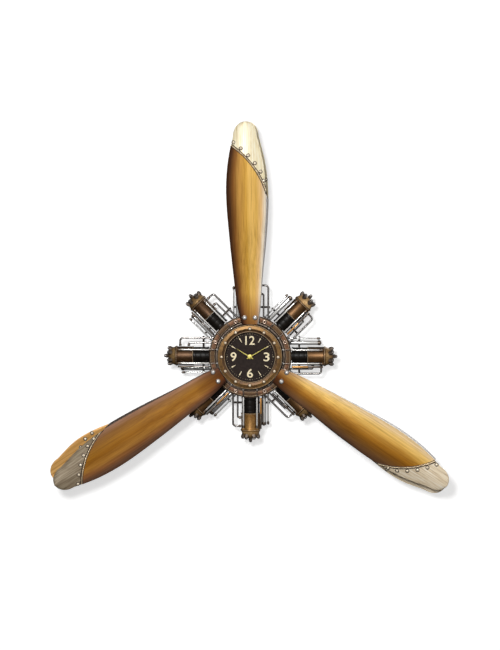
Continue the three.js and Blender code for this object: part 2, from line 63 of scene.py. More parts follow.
# ---------- sizes taken from the frame ----------
RING_RADIUS = reach("crankcase_ring", "x")
RING_BACK = reach("crankcase_ring", "back")
LIP_TOP = reach("crankcase_ring", "front")
RING_TOP = LIP_TOP - 1.4
CASE_FLAT = reach("crankcase", "x")
CASE_TOP = reach("crankcase", "front")
BEZEL_RADIUS = reach("bezel", "x")
BEZEL_TOP = reach("bezel", "front")
BAND_TOP = reach("clamp_band", "back") + 1.1
DIAL_TOP = reach("dial", "front")
DIAL_RADIUS = reach("dial", "x")
BARREL_END = reach("barrel_1", "x")
ROD_END = reach("push_rods", "x")
HEAD_REACH = reach("cylinder_head_1", "x")
PLATE_RADIUS = reach("back_plate", "x")
PLATE_TOP = reach("back_plate", "front")

DIAL_OPENING = 63
RIVET_CIRCLE = 72
CYLINDERS = 8
AXIS_DEPTH = 45
HEAD_RADIUS = 24
BARREL_RADIUS = 22.5
ROD_OFFSET = 17.3
ROD_DEPTH = 66
ROD_RADIUS = 2.25

BLADE_ANGLES = {"top": 90.1, "left": 212.4, "right": 326.1}
ROOT_ANGLES = (90, 210, 330)
ROOT_START = 83.2
TIP_START = 560
TIP_END = 597
LEAF = 5
LEAF_START = 4
LEAF_FROM = 400
LEAF_RUN = 130
LEAF_SHIFT = {"top": 2, "left": 21, "right": 14}
ARC_CENTRE = Vector((353.5, 167))
ARC_RADIUS = 218
CAP_RIVET_RADIUS = 228
TRAILING_EDGE = ((83, 20), (127, 31), (208, 41), (300, 50.5), (411, 58.5), (488, 55), (560, 42))
LEADING_EDGE = ((83, -20), (127, -26), (208, -31), (300, -38), (411, -42.5), (488, -37), (560, -20))


# ---------- mesh tools ----------
class Soup:
    """Points and faces gathered in millimetres and made into one mesh."""

    def __init__(self):
        self.points = []
        self.faces = []
        self.slots = []

    def add(self, shape, matrix=None, slot=0):
        points, faces = shape
        base = len(self.points)
        for point in points:
            place = Vector(point)
            self.points.append(matrix @ place if matrix else place)
        for face in faces:
            self.faces.append([base + corner for corner in face])
            self.slots.append(slot)
        return self

    def mesh(self, name, sharp=35):
        mesh = bpy.data.meshes.new(name)
        mesh.from_pydata([p * MM for p in self.points], [], self.faces)
        mesh.polygons.foreach_set("material_index", self.slots)
        work = bmesh.new()
        work.from_mesh(mesh)
        bmesh.ops.remove_doubles(work, verts=work.verts, dist=1e-7)
        bmesh.ops.recalc_face_normals(work, faces=work.faces)
        work.to_mesh(mesh)
        work.free()
        mesh.shade_smooth()
        mesh.set_sharp_from_angle(angle=math.radians(sharp))
        return mesh


def show(name, mesh, materials, body=ROOT, nodes=(), angle=0.0):
    """Places a mesh, turned about the hub axis, and lets it ride on a body."""
    piece = bpy.data.objects.new(name, mesh)
    bpy.context.scene.collection.objects.link(piece)
    piece.matrix_world = STAND_UP @ Matrix.Rotation(math.radians(angle), 4, "Z")
    if not mesh.materials:
        for material in materials:
            mesh.materials.append(material)
    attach(piece, body)
    if nodes:
        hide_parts(*nodes)
    return piece


def shift(x=0, y=0, z=0):
    return Matrix.Translation((x, y, z))


def around(degrees):
    return Matrix.Rotation(math.radians(degrees), 4, "Z")


def grid(rows, closed_rows=False, cap=True):
    """Skin over equally long rows of points; each row is a closed loop."""
    count = len(rows[0])
    points = [point for row in rows for point in row]
    faces = []
    total = len(rows)
    for i in range(total if closed_rows else total - 1):
        near, far = i * count, ((i + 1) % total) * count
        for j in range(count):
            k = (j + 1) % count
            faces.append((near + j, near + k, far + k, far + j))
    if cap and not closed_rows:
        faces.append(tuple(range(count)))
        faces.append(tuple(range((total - 1) * count, total * count)))
    return points, faces


def revolve(profile, steps=48, loop=True):
    """A profile of (radius, height) turned about z; an open profile starts and ends on the axis."""
    points, rings = [], []
    for radius, height in profile:
        if radius < 1e-6:
            rings.append([len(points)] * steps)
            points.append((0, 0, height))
            continue
        rings.append([len(points) + k for k in range(steps)])
        for k in range(steps):
            turn = 2 * math.pi * k / steps
            points.append((radius * math.cos(turn), radius * math.sin(turn), height))
    faces = []
    pairs = list(zip(rings, rings[1:])) + ([(rings[-1], rings[0])] if loop else [])
    for near, far in pairs:
        for k in range(steps):
            m = (k + 1) % steps
            face = []
            for corner in (near[k], near[m], far[m], far[k]):
                if corner not in face:
                    face.append(corner)
            if len(face) > 2:
                faces.append(face)
    return points, faces


def rounded(corners, radius, steps=3, loop=True):
    """The outline with its corners rounded; an open outline keeps its two ends."""
    result = []
    count = len(corners)
    for i, corner in enumerate(corners):
        here = Vector(corner)
        if not loop and i in (0, count - 1):
            result.append(here)
            continue
        before = Vector(corners[i - 1]) - here
        after = Vector(corners[(i + 1) % count]) - here
        cut = min(radius, before.length * 0.45, after.length * 0.45)
        start = here + before.normalized() * cut
        end = here + after.normalized() * cut
        for k in range(steps + 1):
            t = k / steps
            result.append((1 - t) ** 2 * start + 2 * t * (1 - t) * here + t * t * end)
    return result


def turned(corners, radius=0.5, steps=48, loop=True):
    return revolve(rounded(corners, radius, 3, loop), steps, loop)


def sweep(path, radius, steps=12, lobes=0, twist=0.0):
    """A round bar along a path; `lobes` and `twist` make it a twisted cord."""
    rows = []
    side = None
    for i, point in enumerate(path):
        ahead = path[min(i + 1, len(path) - 1)] - path[max(i - 1, 0)]
        ahead.normalize()
        if side is None:
            side = ahead.orthogonal().normalized()
        side = (side - ahead * side.dot(ahead)).normalized()
        up = ahead.cross(side)
        row = []
        for k in range(steps):
            turn = 2 * math.pi * k / steps
            size = radius * (1 + (0.28 * math.cos(lobes * (turn - twist * i)) if lobes else 0))
            row.append(point + (side * math.cos(turn) + up * math.sin(turn)) * size)
        rows.append(row)
    return grid(rows)


def bar(start, end, radius, steps=16, edge=0.4):
    """A round bar with softened ends."""
    start, end = Vector(start), Vector(end)
    length = (end - start).length
    corners = [(0, 0), (radius, 0), (radius, length), (0, length)]
    shape = turned(corners, edge, steps, loop=False)
    turn = Vector((0, 0, 1)).rotation_difference(end - start).to_matrix().to_4x4()
    matrix = Matrix.Translation(start) @ turn
    return [matrix @ Vector(p) for p in shape[0]], shape[1]


def hexagon(radius, low, high, chamfer=0.6, bore=0.0):
    corners = [(bore, low), (radius, low), (radius, high - chamfer), (radius - chamfer, high), (bore, high)]
    return revolve(corners, 6, loop=bore > 0)


def dome(radius, height, rings=6, steps=20):
    """A round head that stands on z = 0, with a short skirt below it."""
    profile = [(0, -0.8), (radius * 0.98, -0.8), (radius, 0)]
    for k in range(1, rings + 1):
        turn = math.pi / 2 * k / rings
        profile.append((radius * math.cos(turn), height * math.sin(turn)))
    profile[-1] = (0, height)
    return revolve(profile, steps, loop=False)


def polar(radius, degrees):
    return Vector((radius * math.cos(math.radians(degrees)), radius * math.sin(math.radians(degrees))))


def smoothstep(x, low, high):
    t = min(max((x - low) / (high - low), 0), 1)
    return t * t * (3 - 2 * t)


# ---------- materials ----------
def node_material(name):
    material = bpy.data.materials.new(name)
    material.use_nodes = True
    nodes = material.node_tree.nodes
    return material, nodes, material.node_tree.links, nodes["Principled BSDF"]


def ramp_node(nodes, stops):
    ramp = nodes.new("ShaderNodeValToRGB")
    elements = ramp.color_ramp.elements
    while len(elements) < len(stops):
        elements.new(0.5)
    for element, (place, colour) in zip(elements, stops):
        element.position = place
        element.color = (*colour, 1)
    return ramp


def noise_node(nodes, links, scale, stretch, detail=6.0, rough=0.6):
    """Noise in the piece's own frame; stretch is the scale along x, y and z."""
    where = nodes.new("ShaderNodeTexCoord")
    mapping = nodes.new("ShaderNodeMapping")
    mapping.inputs["Scale"].default_value = stretch
    links.new(where.outputs["Object"], mapping.inputs["Vector"])
    noise = nodes.new("ShaderNodeTexNoise")
    noise.inputs["Scale"].default_value = scale
    noise.inputs["Detail"].default_value = detail
    noise.inputs["Roughness"].default_value = rough
    links.new(mapping.outputs["Vector"], noise.inputs["Vector"])
    return noise


def painted_turn_and_crease_shade(nodes, links, colour, rim):
    """The colour darkened where the surface turns away from view, a painted dark reflection, and in the creases where
    it is hemmed in, painted shade.
    """
    facing = nodes.new("ShaderNodeLayerWeight")
    facing.inputs["Blend"].default_value = 0.5
    crease = nodes.new("ShaderNodeAmbientOcclusion")
    crease.samples = 6
    crease.inputs["Distance"].default_value = 12 * MM
    low = 1 - rim
    # painted dark reflection on surfaces turned away from view
    turn = ramp_node(nodes, [(0.0, (1, 1, 1)), (0.35, (1 - 0.3 * rim,) * 3), (0.8, (low,) * 3)])
    links.new(facing.outputs["Facing"], turn.inputs["Fac"])
    crease_shade = ramp_node(nodes, [(0.15, (low * 0.6,) * 3), (0.8, (1, 1, 1))])
    links.new(crease.outputs["AO"], crease_shade.inputs["Fac"])
    for shade in (turn, crease_shade):
        mix = nodes.new("ShaderNodeMixRGB")
        mix.blend_type = "MULTIPLY"
        mix.inputs["Fac"].default_value = 1
        links.new(colour, mix.inputs["Color1"])
        links.new(shade.outputs["Color"], mix.inputs["Color2"])
        colour = mix.outputs["Color"]
    return colour


def finish(name, stops, metallic, roughness, streak=(1, 1, 1), scale=60.0, spread=0.08, bump=0.02,
           patina=None, coat=0.0, wear=None, rim=0.0, shine=0.5):
    """A finish with streaked colour, varied roughness, fine relief, patina blotches and worn edges.

    stops: colour ramp over the streak noise. patina: (colour, share) in large soft blotches.
    wear: colour that shows on raised edges. rim: strength of the painted dark reflection where the surface turns
    away and of the painted shade in the creases. shine: strength of the clear reflection on what is not metal.
    """
    material, nodes, links, shader = node_material(name)
    fine = noise_node(nodes, links, scale, streak)
    ramp = ramp_node(nodes, stops)
    links.new(fine.outputs["Fac"], ramp.inputs["Fac"])
    colour = ramp.outputs["Color"]
    if patina:
        cloud = noise_node(nodes, links, 22, (1, 1, 1), 5)
        mask = ramp_node(nodes, [(0.42, (0, 0, 0)), (0.72, (patina[1],) * 3)])
        links.new(cloud.outputs["Fac"], mask.inputs["Fac"])
        mix = nodes.new("ShaderNodeMixRGB")
        mix.inputs["Color2"].default_value = (*patina[0], 1)
        links.new(mask.outputs["Color"], mix.inputs["Fac"])
        links.new(colour, mix.inputs["Color1"])
        colour = mix.outputs["Color"]
    if wear:
        geometry = nodes.new("ShaderNodeNewGeometry")
        mask = ramp_node(nodes, [(0.52, (0, 0, 0)), (0.6, (0.85, 0.85, 0.85))])
        links.new(geometry.outputs["Pointiness"], mask.inputs["Fac"])
        mix = nodes.new("ShaderNodeMixRGB")
        mix.inputs["Color2"].default_value = (*wear, 1)
        links.new(mask.outputs["Color"], mix.inputs["Fac"])
        links.new(colour, mix.inputs["Color1"])
        colour = mix.outputs["Color"]
    # rim: painted dark reflection where the surface turns away, painted shade in the creases
    if rim:
        colour = painted_turn_and_crease_shade(nodes, links, colour, rim)
    links.new(colour, shader.inputs["Base Color"])
    shader.inputs["Specular IOR Level"].default_value = shine
    span = nodes.new("ShaderNodeMapRange")
    span.inputs["To Min"].default_value = max(roughness - spread, 0.02)
    span.inputs["To Max"].default_value = roughness + spread
    links.new(fine.outputs["Fac"], span.inputs["Value"])
    links.new(span.outputs["Result"], shader.inputs["Roughness"])
    relief = nodes.new("ShaderNodeBump")
    relief.inputs["Strength"].default_value = bump
    relief.inputs["Distance"].default_value = MM
    links.new(fine.outputs["Fac"], relief.inputs["Height"])
    links.new(relief.outputs["Normal"], shader.inputs["Normal"])
    shader.inputs["Metallic"].default_value = metallic
    shader.inputs["Coat Weight"].default_value = coat
    shader.inputs["Coat Roughness"].default_value = 0.12
    return material


ALONG = (1.5, 46, 46)


def wood_with_painted_light(name, stops):
    """Varnished wood coloured in a gradient across the blade; stops run from leading to trailing edge. The gradient is
    partly the wood's own tone and partly painted highlight and painted shade for how light falls across each blade.
    """
    material, nodes, links, shader = node_material(name)
    across = nodes.new("ShaderNodeAttribute")
    across.attribute_name = "across"
    streak = noise_node(nodes, links, 6, ALONG, 8, 0.65)
    broad = noise_node(nodes, links, 5, (1.2, 9, 9), 3)
    wobble = nodes.new("ShaderNodeMath")
    wobble.operation = "MULTIPLY_ADD"
    wobble.inputs[1].default_value = 0.12
    links.new(broad.outputs["Fac"], wobble.inputs[0])
    links.new(across.outputs["Fac"], wobble.inputs[2])
    # ramp of wood tone with painted highlight and painted shade across the blade
    tone_and_painted_light = ramp_node(nodes, stops)
    links.new(wobble.outputs["Value"], tone_and_painted_light.inputs["Fac"])
    grain = ramp_node(nodes, [(0.3, (0.62, 0.56, 0.5)), (0.5, (0.98, 0.98, 0.98)), (0.68, (1.22, 1.25, 1.35))])
    links.new(streak.outputs["Fac"], grain.inputs["Fac"])
    mix = nodes.new("ShaderNodeMixRGB")
    mix.blend_type = "MULTIPLY"
    mix.inputs["Fac"].default_value = 0.75
    links.new(tone_and_painted_light.outputs["Color"], mix.inputs["Color1"])
    links.new(grain.outputs["Color"], mix.inputs["Color2"])
    # painted shade: the wood near the hub is darkened, fading out along the blade
    foot = nodes.new("ShaderNodeAttribute")
    foot.attribute_name = "foot"
    foot_shade = ramp_node(nodes, [(0.0, (0.36, 0.25, 0.20)), (0.45, (0.66, 0.57, 0.52)), (1.0, (1, 1, 1))])
    links.new(foot.outputs["Fac"], foot_shade.inputs["Fac"])
    foot_shaded = nodes.new("ShaderNodeMixRGB")
    foot_shaded.blend_type = "MULTIPLY"
    foot_shaded.inputs["Fac"].default_value = 1.0
    links.new(mix.outputs["Color"], foot_shaded.inputs["Color1"])
    links.new(foot_shade.outputs["Color"], foot_shaded.inputs["Color2"])
    links.new(foot_shaded.outputs["Color"], shader.inputs["Base Color"])
    relief = nodes.new("ShaderNodeBump")
    relief.inputs["Strength"].default_value = 0.15
    relief.inputs["Distance"].default_value = MM
    links.new(streak.outputs["Fac"], relief.inputs["Height"])
    links.new(relief.outputs["Normal"], shader.inputs["Normal"])
    shader.inputs["Metallic"].default_value = 0.1
    shader.inputs["Roughness"].default_value = 0.5
    shader.inputs["Specular IOR Level"].default_value = 0.12
    return material


# Each blade has its own ramp: the colour across it is partly wood tone and partly painted highlight and painted shade
# for how light falls on that blade.
WOODS = {
    "top": wood_with_painted_light("wood_with_painted_light_top", [
        (0, (0.48, 0.37, 0.29)), (0.09, (0.96, 0.84, 0.65)), (0.17, (0.84, 0.54, 0.24)),
        (0.3, (0.78, 0.47, 0.11)), (0.45, (0.77, 0.47, 0.12)), (0.55, (0.59, 0.32, 0.043)),
        (0.72, (0.51, 0.26, 0.049)), (0.86, (0.25, 0.098, 0.018)), (1.0, (0.068, 0.026, 0.011))]),
    "left": wood_with_painted_light("wood_with_painted_light_left", [
        (0, (0.2, 0.11, 0.068)), (0.07, (0.39, 0.21, 0.13)), (0.2, (0.25, 0.11, 0.027)),
        (0.4, (0.31, 0.13, 0.008)), (0.55, (0.29, 0.11, 0.005)), (0.72, (0.42, 0.19, 0.033)),
        (0.85, (0.3, 0.12, 0.035)), (1.0, (0.15, 0.075, 0.043))]),
    "right": wood_with_painted_light("wood_with_painted_light_right", [
        (0, (0.091, 0.044, 0.023)), (0.1, (0.14, 0.068, 0.034)), (0.25, (0.2, 0.089, 0.023)),
        (0.4, (0.26, 0.1, 0.007)), (0.52, (0.37, 0.15, 0.009)), (0.65, (0.51, 0.25, 0.032)),
        (0.78, (0.76, 0.46, 0.11)), (0.9, (0.83, 0.55, 0.18)), (1.0, (0.83, 0.6, 0.32))]),
}
# Flank colours are lit and shaded copies of one surface: painted light on the pale flanks and painted shade on the dark
# ones, chosen per blade for how light falls.
SIDE_PAINTED_LIT = finish("blade_side_painted_lit", [(0.3, (0.78, 0.74, 0.69)), (0.7, (0.95, 0.92, 0.88))], 0.0, 0.35, ALONG, 6, 0.06, 0.1)
SIDE_PAINTED_HALF_SHADE = finish("blade_side_painted_half_shade", [(0.3, (0.10, 0.065, 0.05)), (0.7, (0.22, 0.155, 0.12))], 0.1, 0.45, ALONG, 6, 0.06, 0.1)
SIDE_PAINTED_SHADE = finish("blade_side_painted_shade", [(0.3, (0.045, 0.027, 0.018)), (0.7, (0.09, 0.058, 0.04))], 0.1, 0.45, ALONG, 6, 0.06, 0.1)
SIDES = {"top": (SIDE_PAINTED_LIT, SIDE_PAINTED_SHADE), "left": (SIDE_PAINTED_HALF_SHADE, SIDE_PAINTED_SHADE), "right": (SIDE_PAINTED_SHADE, SIDE_PAINTED_LIT)}
BRUSHED = (1.2, 60, 60)
# One champagne metal copied per blade, lighter or darker for how light falls on each: the left cap is the copy darkened
# with painted shade.
CAPS = {
    "top": finish("champagne_cap_top", [(0.28, (0.62, 0.48, 0.26)), (0.5, (0.95, 0.84, 0.56)), (0.72, (1.0, 0.96, 0.80))],
                  0.1, 0.4, BRUSHED, 5, 0.08, 0.15),
    "left": finish("champagne_cap_painted_shade_left", [(0.28, (0.16, 0.115, 0.07)), (0.5, (0.32, 0.25, 0.165)), (0.72, (0.50, 0.42, 0.30))],
                   0.25, 0.35, BRUSHED, 5, 0.08, 0.15),
    "right": finish("champagne_cap_right", [(0.28, (0.50, 0.37, 0.23)), (0.5, (0.84, 0.70, 0.49)), (0.72, (1.0, 0.93, 0.80))],
                    0.1, 0.35, BRUSHED, 5, 0.08, 0.15),
}
# The back leaf of the left blade: the champagne metal tinted orange, a painted warm reflection.
LEAF_WARM_REFLECTION = finish("leaf_painted_warm_reflection", [(0.28, (0.42, 0.20, 0.04)), (0.5, (0.62, 0.32, 0.08)), (0.72, (0.78, 0.47, 0.16))],
               0.25, 0.35, BRUSHED, 5, 0.08, 0.15)
HEM = finish("hem_gold", [(0.3, (0.62, 0.46, 0.28)), (0.7, (0.85, 0.70, 0.48))], 0.5, 0.3, (1, 1, 1), 120, 0.08, 0.1)
# Near-black: painted shade in the grooves beside the hem cord and under the rivet heads; the bracket bars behind the
# pipes take it as their dark colour.
DARK_METAL_AND_SHADE = finish("dark_metal_and_painted_shade", [(0.3, (0.03, 0.018, 0.012)), (0.7, (0.07, 0.045, 0.03))], 0.3, 0.45, (1, 1, 1), 90, 0.08, 0.1)
STUD_CREAM = finish("cream_stud", [(0.3, (0.84, 0.68, 0.47)), (0.7, (1.0, 0.90, 0.72))], 0.2, 0.25, (1, 1, 1), 120, 0.06, 0.05, rim=0.75)
BOLT = finish("bright_bolt", [(0.3, (0.80, 0.78, 0.76)), (0.7, (0.98, 0.96, 0.94))], 0.35, 0.16, (1, 1, 1), 120, 0.06, 0.05, rim=0.95)
ROD = finish("bright_rod", [(0.3, (0.74, 0.72, 0.69)), (0.7, (0.94, 0.92, 0.89))], 0.4, 0.2, (1, 1, 1), 120, 0.06, 0.05, rim=0.7)
BRONZE = finish("antique_bronze", [(0.3, (0.125, 0.062, 0.018)), (0.6, (0.25, 0.135, 0.040))],
                0.6, 0.42, (1, 1, 1), 160, 0.1, 0.12, patina=((0.06, 0.026, 0.01), 0.6), rim=0.7)
DEEP_BRONZE = finish("deep_bronze", [(0.3, (0.050, 0.023, 0.007)), (0.6, (0.105, 0.052, 0.016))],
                     0.6, 0.42, (1, 1, 1), 160, 0.1, 0.12, patina=((0.05, 0.022, 0.01), 0.6), rim=0.6)
# Lit and shaded copies of the head bronze follow: the dome colours are lightened as painted highlight, and the head
# copies are darker or lighter for how light falls on each cylinder.
DOME_HIGHLIGHT = finish("dome_painted_highlight", [(0.3, (0.26, 0.14, 0.05)), (0.6, (0.52, 0.33, 0.14))],
                     0.5, 0.34, (1, 1, 1), 160, 0.1, 0.1, patina=((0.14, 0.06, 0.02), 0.5), rim=0.35)
HEAD_PAINTED_SHADE = finish("head_painted_shade", [(0.3, (0.05, 0.022, 0.007)), (0.6, (0.11, 0.052, 0.017))],
                   0.6, 0.42, (1, 1, 1), 160, 0.1, 0.12, patina=((0.03, 0.014, 0.007), 0.6), rim=0.5)
HEAD_PAINTED_LIT = finish("head_painted_lit", [(0.3, (0.26, 0.12, 0.032)), (0.6, (0.48, 0.25, 0.065))],
                     0.5, 0.36, (1, 1, 1), 160, 0.1, 0.12, patina=((0.10, 0.04, 0.015), 0.5), rim=0.5)
DOME_STRONG_HIGHLIGHT = finish("dome_painted_strong_highlight", [(0.3, (0.50, 0.27, 0.10)), (0.6, (0.85, 0.56, 0.25))],
                     0.4, 0.32, (1, 1, 1), 160, 0.1, 0.1, patina=((0.2, 0.08, 0.03), 0.45), rim=0.35)
BARREL_BRONZE = finish("barrel_bronze", [(0.3, (0.09, 0.040, 0.012)), (0.6, (0.18, 0.090, 0.028))],
                       0.65, 0.42, (1, 5, 5), 120, 0.08, 0.08, patina=((0.09, 0.038, 0.014), 0.5), rim=0.85)
# Per cylinder: heads of 4 and 5 darkened with painted shade, head of 7 lightened with painted light, domes of 2 and 7
# with a stronger painted highlight.
HEADS = {2: (BARREL_BRONZE, DOME_STRONG_HIGHLIGHT), 4: (HEAD_PAINTED_SHADE, DOME_HIGHLIGHT), 5: (HEAD_PAINTED_SHADE, DOME_HIGHLIGHT), 7: (HEAD_PAINTED_LIT, DOME_STRONG_HIGHLIGHT)}
DARK_BRONZE = finish("dark_bronze", [(0.3, (0.028, 0.014, 0.008)), (0.7, (0.075, 0.038, 0.018))],
                     0.7, 0.4, (1, 1, 1), 110, 0.1, 0.15, rim=0.5)
# Pale fine wires along the edges of bezel, flange and heads: painted highlight where the edges catch the light.
EDGE_HIGHLIGHT = finish("painted_edge_highlight", [(0.3, (0.45, 0.32, 0.19)), (0.7, (0.72, 0.56, 0.38))], 0.5, 0.3, (1, 1, 1), 140, 0.08, 0.05)
BLACK = finish("gloss_black", [(0.3, (0.004, 0.0035, 0.003)), (0.7, (0.012, 0.009, 0.007))],
               0.0, 0.35, (1, 1, 1), 80, 0.05, 0.02, rim=0.6, shine=0.12)
PIPE = finish("pipe_steel", [(0.3, (0.22, 0.20, 0.19)), (0.7, (0.42, 0.40, 0.38))],
              0.8, 0.22, (2, 30, 30), 40, 0.05, 0.03, rim=0.9)
CHROME = finish("chrome", [(0.3, (0.80, 0.79, 0.77)), (0.7, (0.96, 0.95, 0.93))],
                0.5, 0.16, (2, 30, 30), 40, 0.05, 0.03, rim=0.92)
DARK_STEEL = finish("dark_steel", [(0.3, (0.07, 0.052, 0.040)), (0.7, (0.24, 0.185, 0.145))],
                    0.6, 0.3, (1, 1, 1), 120, 0.1, 0.1, rim=0.7)
GREY_STEEL = finish("grey_steel", [(0.3, (0.16, 0.14, 0.13)), (0.7, (0.30, 0.27, 0.25))],
                    0.8, 0.28, (1, 1, 1), 120, 0.1, 0.08, rim=0.8)
RED_BRONZE = finish("red_bronze", [(0.3, (0.085, 0.036, 0.018)), (0.6, (0.17, 0.08, 0.04))],
                    0.7, 0.38, (1, 1, 1), 110, 0.1, 0.12, rim=0.6)
ROSE = finish("rose_metal", [(0.3, (0.45, 0.31, 0.23)), (0.6, (0.66, 0.49, 0.38))],
              0.6, 0.28, (1, 1, 1), 120, 0.08, 0.05, rim=0.6)
# Copper for the bar beside the barrel: a painted warm reflection along the barrel's lower limb.
COPPER_REFLECTION = finish("painted_copper_reflection", [(0.3, (0.50, 0.23, 0.06)), (0.6, (0.72, 0.37, 0.12))],
                      0.5, 0.28, (1, 20, 20), 60, 0.08, 0.05, rim=0.5)
GOLD = finish("gold", [(0.3, (0.80, 0.62, 0.42)), (0.7, (0.98, 0.84, 0.64))],
              0.2, 0.25, (1, 1, 1), 120, 0.06, 0.05, rim=0.5)
HAND_GOLD = finish("hand_gold", [(0.3, (0.80, 0.66, 0.10)), (0.7, (0.95, 0.85, 0.30))],
                   0.35, 0.35, (1, 1, 1), 90, 0.06, 0.02)
PRINT = finish("dial_print", [(0.3, (0.84, 0.70, 0.42)), (0.7, (0.98, 0.87, 0.60))],
               0.0, 0.5, (1, 1, 1), 120, 0.05, 0.02)
DIAL = finish("dial_black", [(0.3, (0.016, 0.010, 0.008)), (0.7, (0.034, 0.023, 0.019))],
              0.0, 0.75, (1, 1, 1), 150, 0.08, 0.05, shine=0.2)
PLASTIC = finish("black_plastic", [(0.3, (0.018, 0.018, 0.02)), (0.7, (0.03, 0.03, 0.033))],
                 0.0, 0.5, (1, 1, 1), 400, 0.08, 0.15)
STEEL = finish("zinc_plate", [(0.3, (0.30, 0.30, 0.31)), (0.7, (0.46, 0.46, 0.47))],
               1, 0.38, (8, 1, 8), 60, 0.1, 0.08, patina=((0.20, 0.19, 0.18), 0.5))
BRASS = finish("plain_brass", [(0.3, (0.50, 0.36, 0.12)), (0.7, (0.68, 0.52, 0.20))], 1, 0.3, (1, 1, 1), 90, 0.08, 0.05)
BOARD = finish("circuit_board", [(0.3, (0.01, 0.08, 0.03)), (0.7, (0.02, 0.13, 0.05))], 0, 0.4, (1, 1, 1), 300, 0.08, 0.1)
COPPER = finish("copper_wire", [(0.3, (0.42, 0.15, 0.05)), (0.7, (0.62, 0.26, 0.10))], 1, 0.3, (1, 300, 1), 20, 0.08, 0.4)
CELL = finish("battery_sleeve", [(0.3, (0.24, 0.24, 0.25)), (0.7, (0.34, 0.34, 0.35))], 0.8, 0.3, (1, 40, 1), 20, 0.08, 0.05)


# ---------- blades ----------
def spline(points, x):
    """A smooth curve through the points."""
    last = len(points) - 2
    i = next((k for k in range(last + 1) if x <= points[k + 1][0]), last)
    (x0, y0), (x1, y1) = points[max(i - 1, 0)], points[i]
    (x2, y2), (x3, y3) = points[i + 1], points[min(i + 2, last + 1)]
    span = x2 - x1
    m1 = (y2 - y0) / (x2 - x0) * span
    m2 = (y3 - y1) / (x3 - x1) * span
    t = (x - x1) / span
    return ((2 * t ** 3 - 3 * t ** 2 + 1) * y1 + (t ** 3 - 2 * t ** 2 + t) * m1
            + (3 * t ** 2 - 2 * t ** 3) * y2 + (t ** 3 - t ** 2) * m2)


def edges(x):
    """Trailing and leading edge of the front face, x millimetres from the hub axis."""
    trailing = spline(TRAILING_EDGE, min(x, TIP_START))
    leading = spline(LEADING_EDGE, min(x, TIP_START))
    if x <= TIP_START:
        return trailing, leading
    t = min((x - TIP_START) / (TIP_END - TIP_START), 1)
    middle, half = (trailing + leading) / 2, (trailing - leading) / 2 * math.sqrt(1 - t * t)
    return middle + half, middle - half


def back_depth(x):
    return 72 - 25 * smoothstep(x, 230, 420)


def edge_depth(x):
    return 82 + 10 * smoothstep(x, 110, 400)


def crown(x):
    return 2 + 10 * smoothstep(x, 110, 330) - 7 * smoothstep(x, 430, 595)


def front_height(x, y):
    trailing, leading = edges(x)
    t = (2 * y - trailing - leading) / max(trailing - leading, 0.5)
    return edge_depth(x) + crown(x) * (1 - t * t)


def on_arc(radius, degrees):
    """A point on the arc where wood meets cap; degrees run from the trailing to the leading edge."""
    return ARC_CENTRE + polar(radius, -degrees)


FRONT_STEPS = 30


def wood_loop(x):
    """Cross-section of the wooden part as (y, z): crowned front, seam, drafted sides, flat back."""
    trailing, leading = edges(x)
    low, top, rise = back_depth(x), edge_depth(x), crown(x)
    draft = smoothstep(x, 120, 400)
    spread = 2 + 3 * smoothstep(x, 150, 330)
    half, middle = (trailing - leading) / 2, (trailing + leading) / 2
    loop = []
    for k in range(FRONT_STEPS + 1):
        t = 1 - 2 * k / FRONT_STEPS
        t = math.copysign(abs(t) ** 0.85, t)
        lip = 1.6 * max(abs(t) - 0.9, 0) / 0.1
        loop.append((middle + half * t, top + rise * (1 - t * t) - lip ** 2 * 0.4))
    seam = 0.9 * draft + 0.2
    thick = top - low
    loop += [(leading - 0.2, top - 2.0), (leading + seam, top - 2.6), (leading + seam * 0.8, top - 3.4),
             (leading - 0.2 * spread, top - 4.2)]
    loop += [(leading - 0.87 * spread, low + 0.15 * thick), (leading - spread + 0.6, low + 0.8),
             (leading - spread + 2.4, low)]
    loop += [(middle, low)]
    loop += [(trailing + 2 * draft - 2.4, low), (trailing + 2 * draft - 0.6, low + 0.8),
             (trailing + 1.7 * draft, low + 0.15 * thick)]
    loop += [(trailing + 0.5 * draft, top - 4.2), (trailing - seam * 0.8, top - 3.4), (trailing - seam, top - 2.6),
             (trailing + 0.2, top - 2.0)]
    return loop


def cap_loop(x, inset=0.8, drop=1.2):
    """Cross-section of a front cap: a crowned sheet with a rolled rim and a flat underside."""
    trailing, leading = edges(x)
    half, middle = max((trailing - leading) / 2 - inset, 0.02), (trailing + leading) / 2
    top, rise = edge_depth(x) - drop, crown(x)
    roll = min(1.6, half * 0.6)
    loop = []
    for k in range(FRONT_STEPS + 1):
        t = 1 - 2 * k / FRONT_STEPS
        t = math.copysign(abs(t) ** 0.85, t)
        loop.append((middle + (half - roll * 0.4) * t, top + rise * (1 - t * t)))
    low = edge_depth(x) - LEAF
    for y, z in ((-half, top - roll), (-half, low + roll), (-half + roll, low)):
        loop.append((middle + y, z))
    loop.append((middle, low))
    for y, z in ((half - roll, low), (half, low + roll), (half, top - roll)):
        loop.append((middle + y, z))
    return loop


def leaf_shift(x, side):
    """How far the back cap stands out to the leading side."""
    share = min(max((x - LEAF_FROM) / LEAF_RUN, 0), 1)
    return LEAF_START + (LEAF_SHIFT[side] - LEAF_START) * math.sin(math.pi / 2 * share)


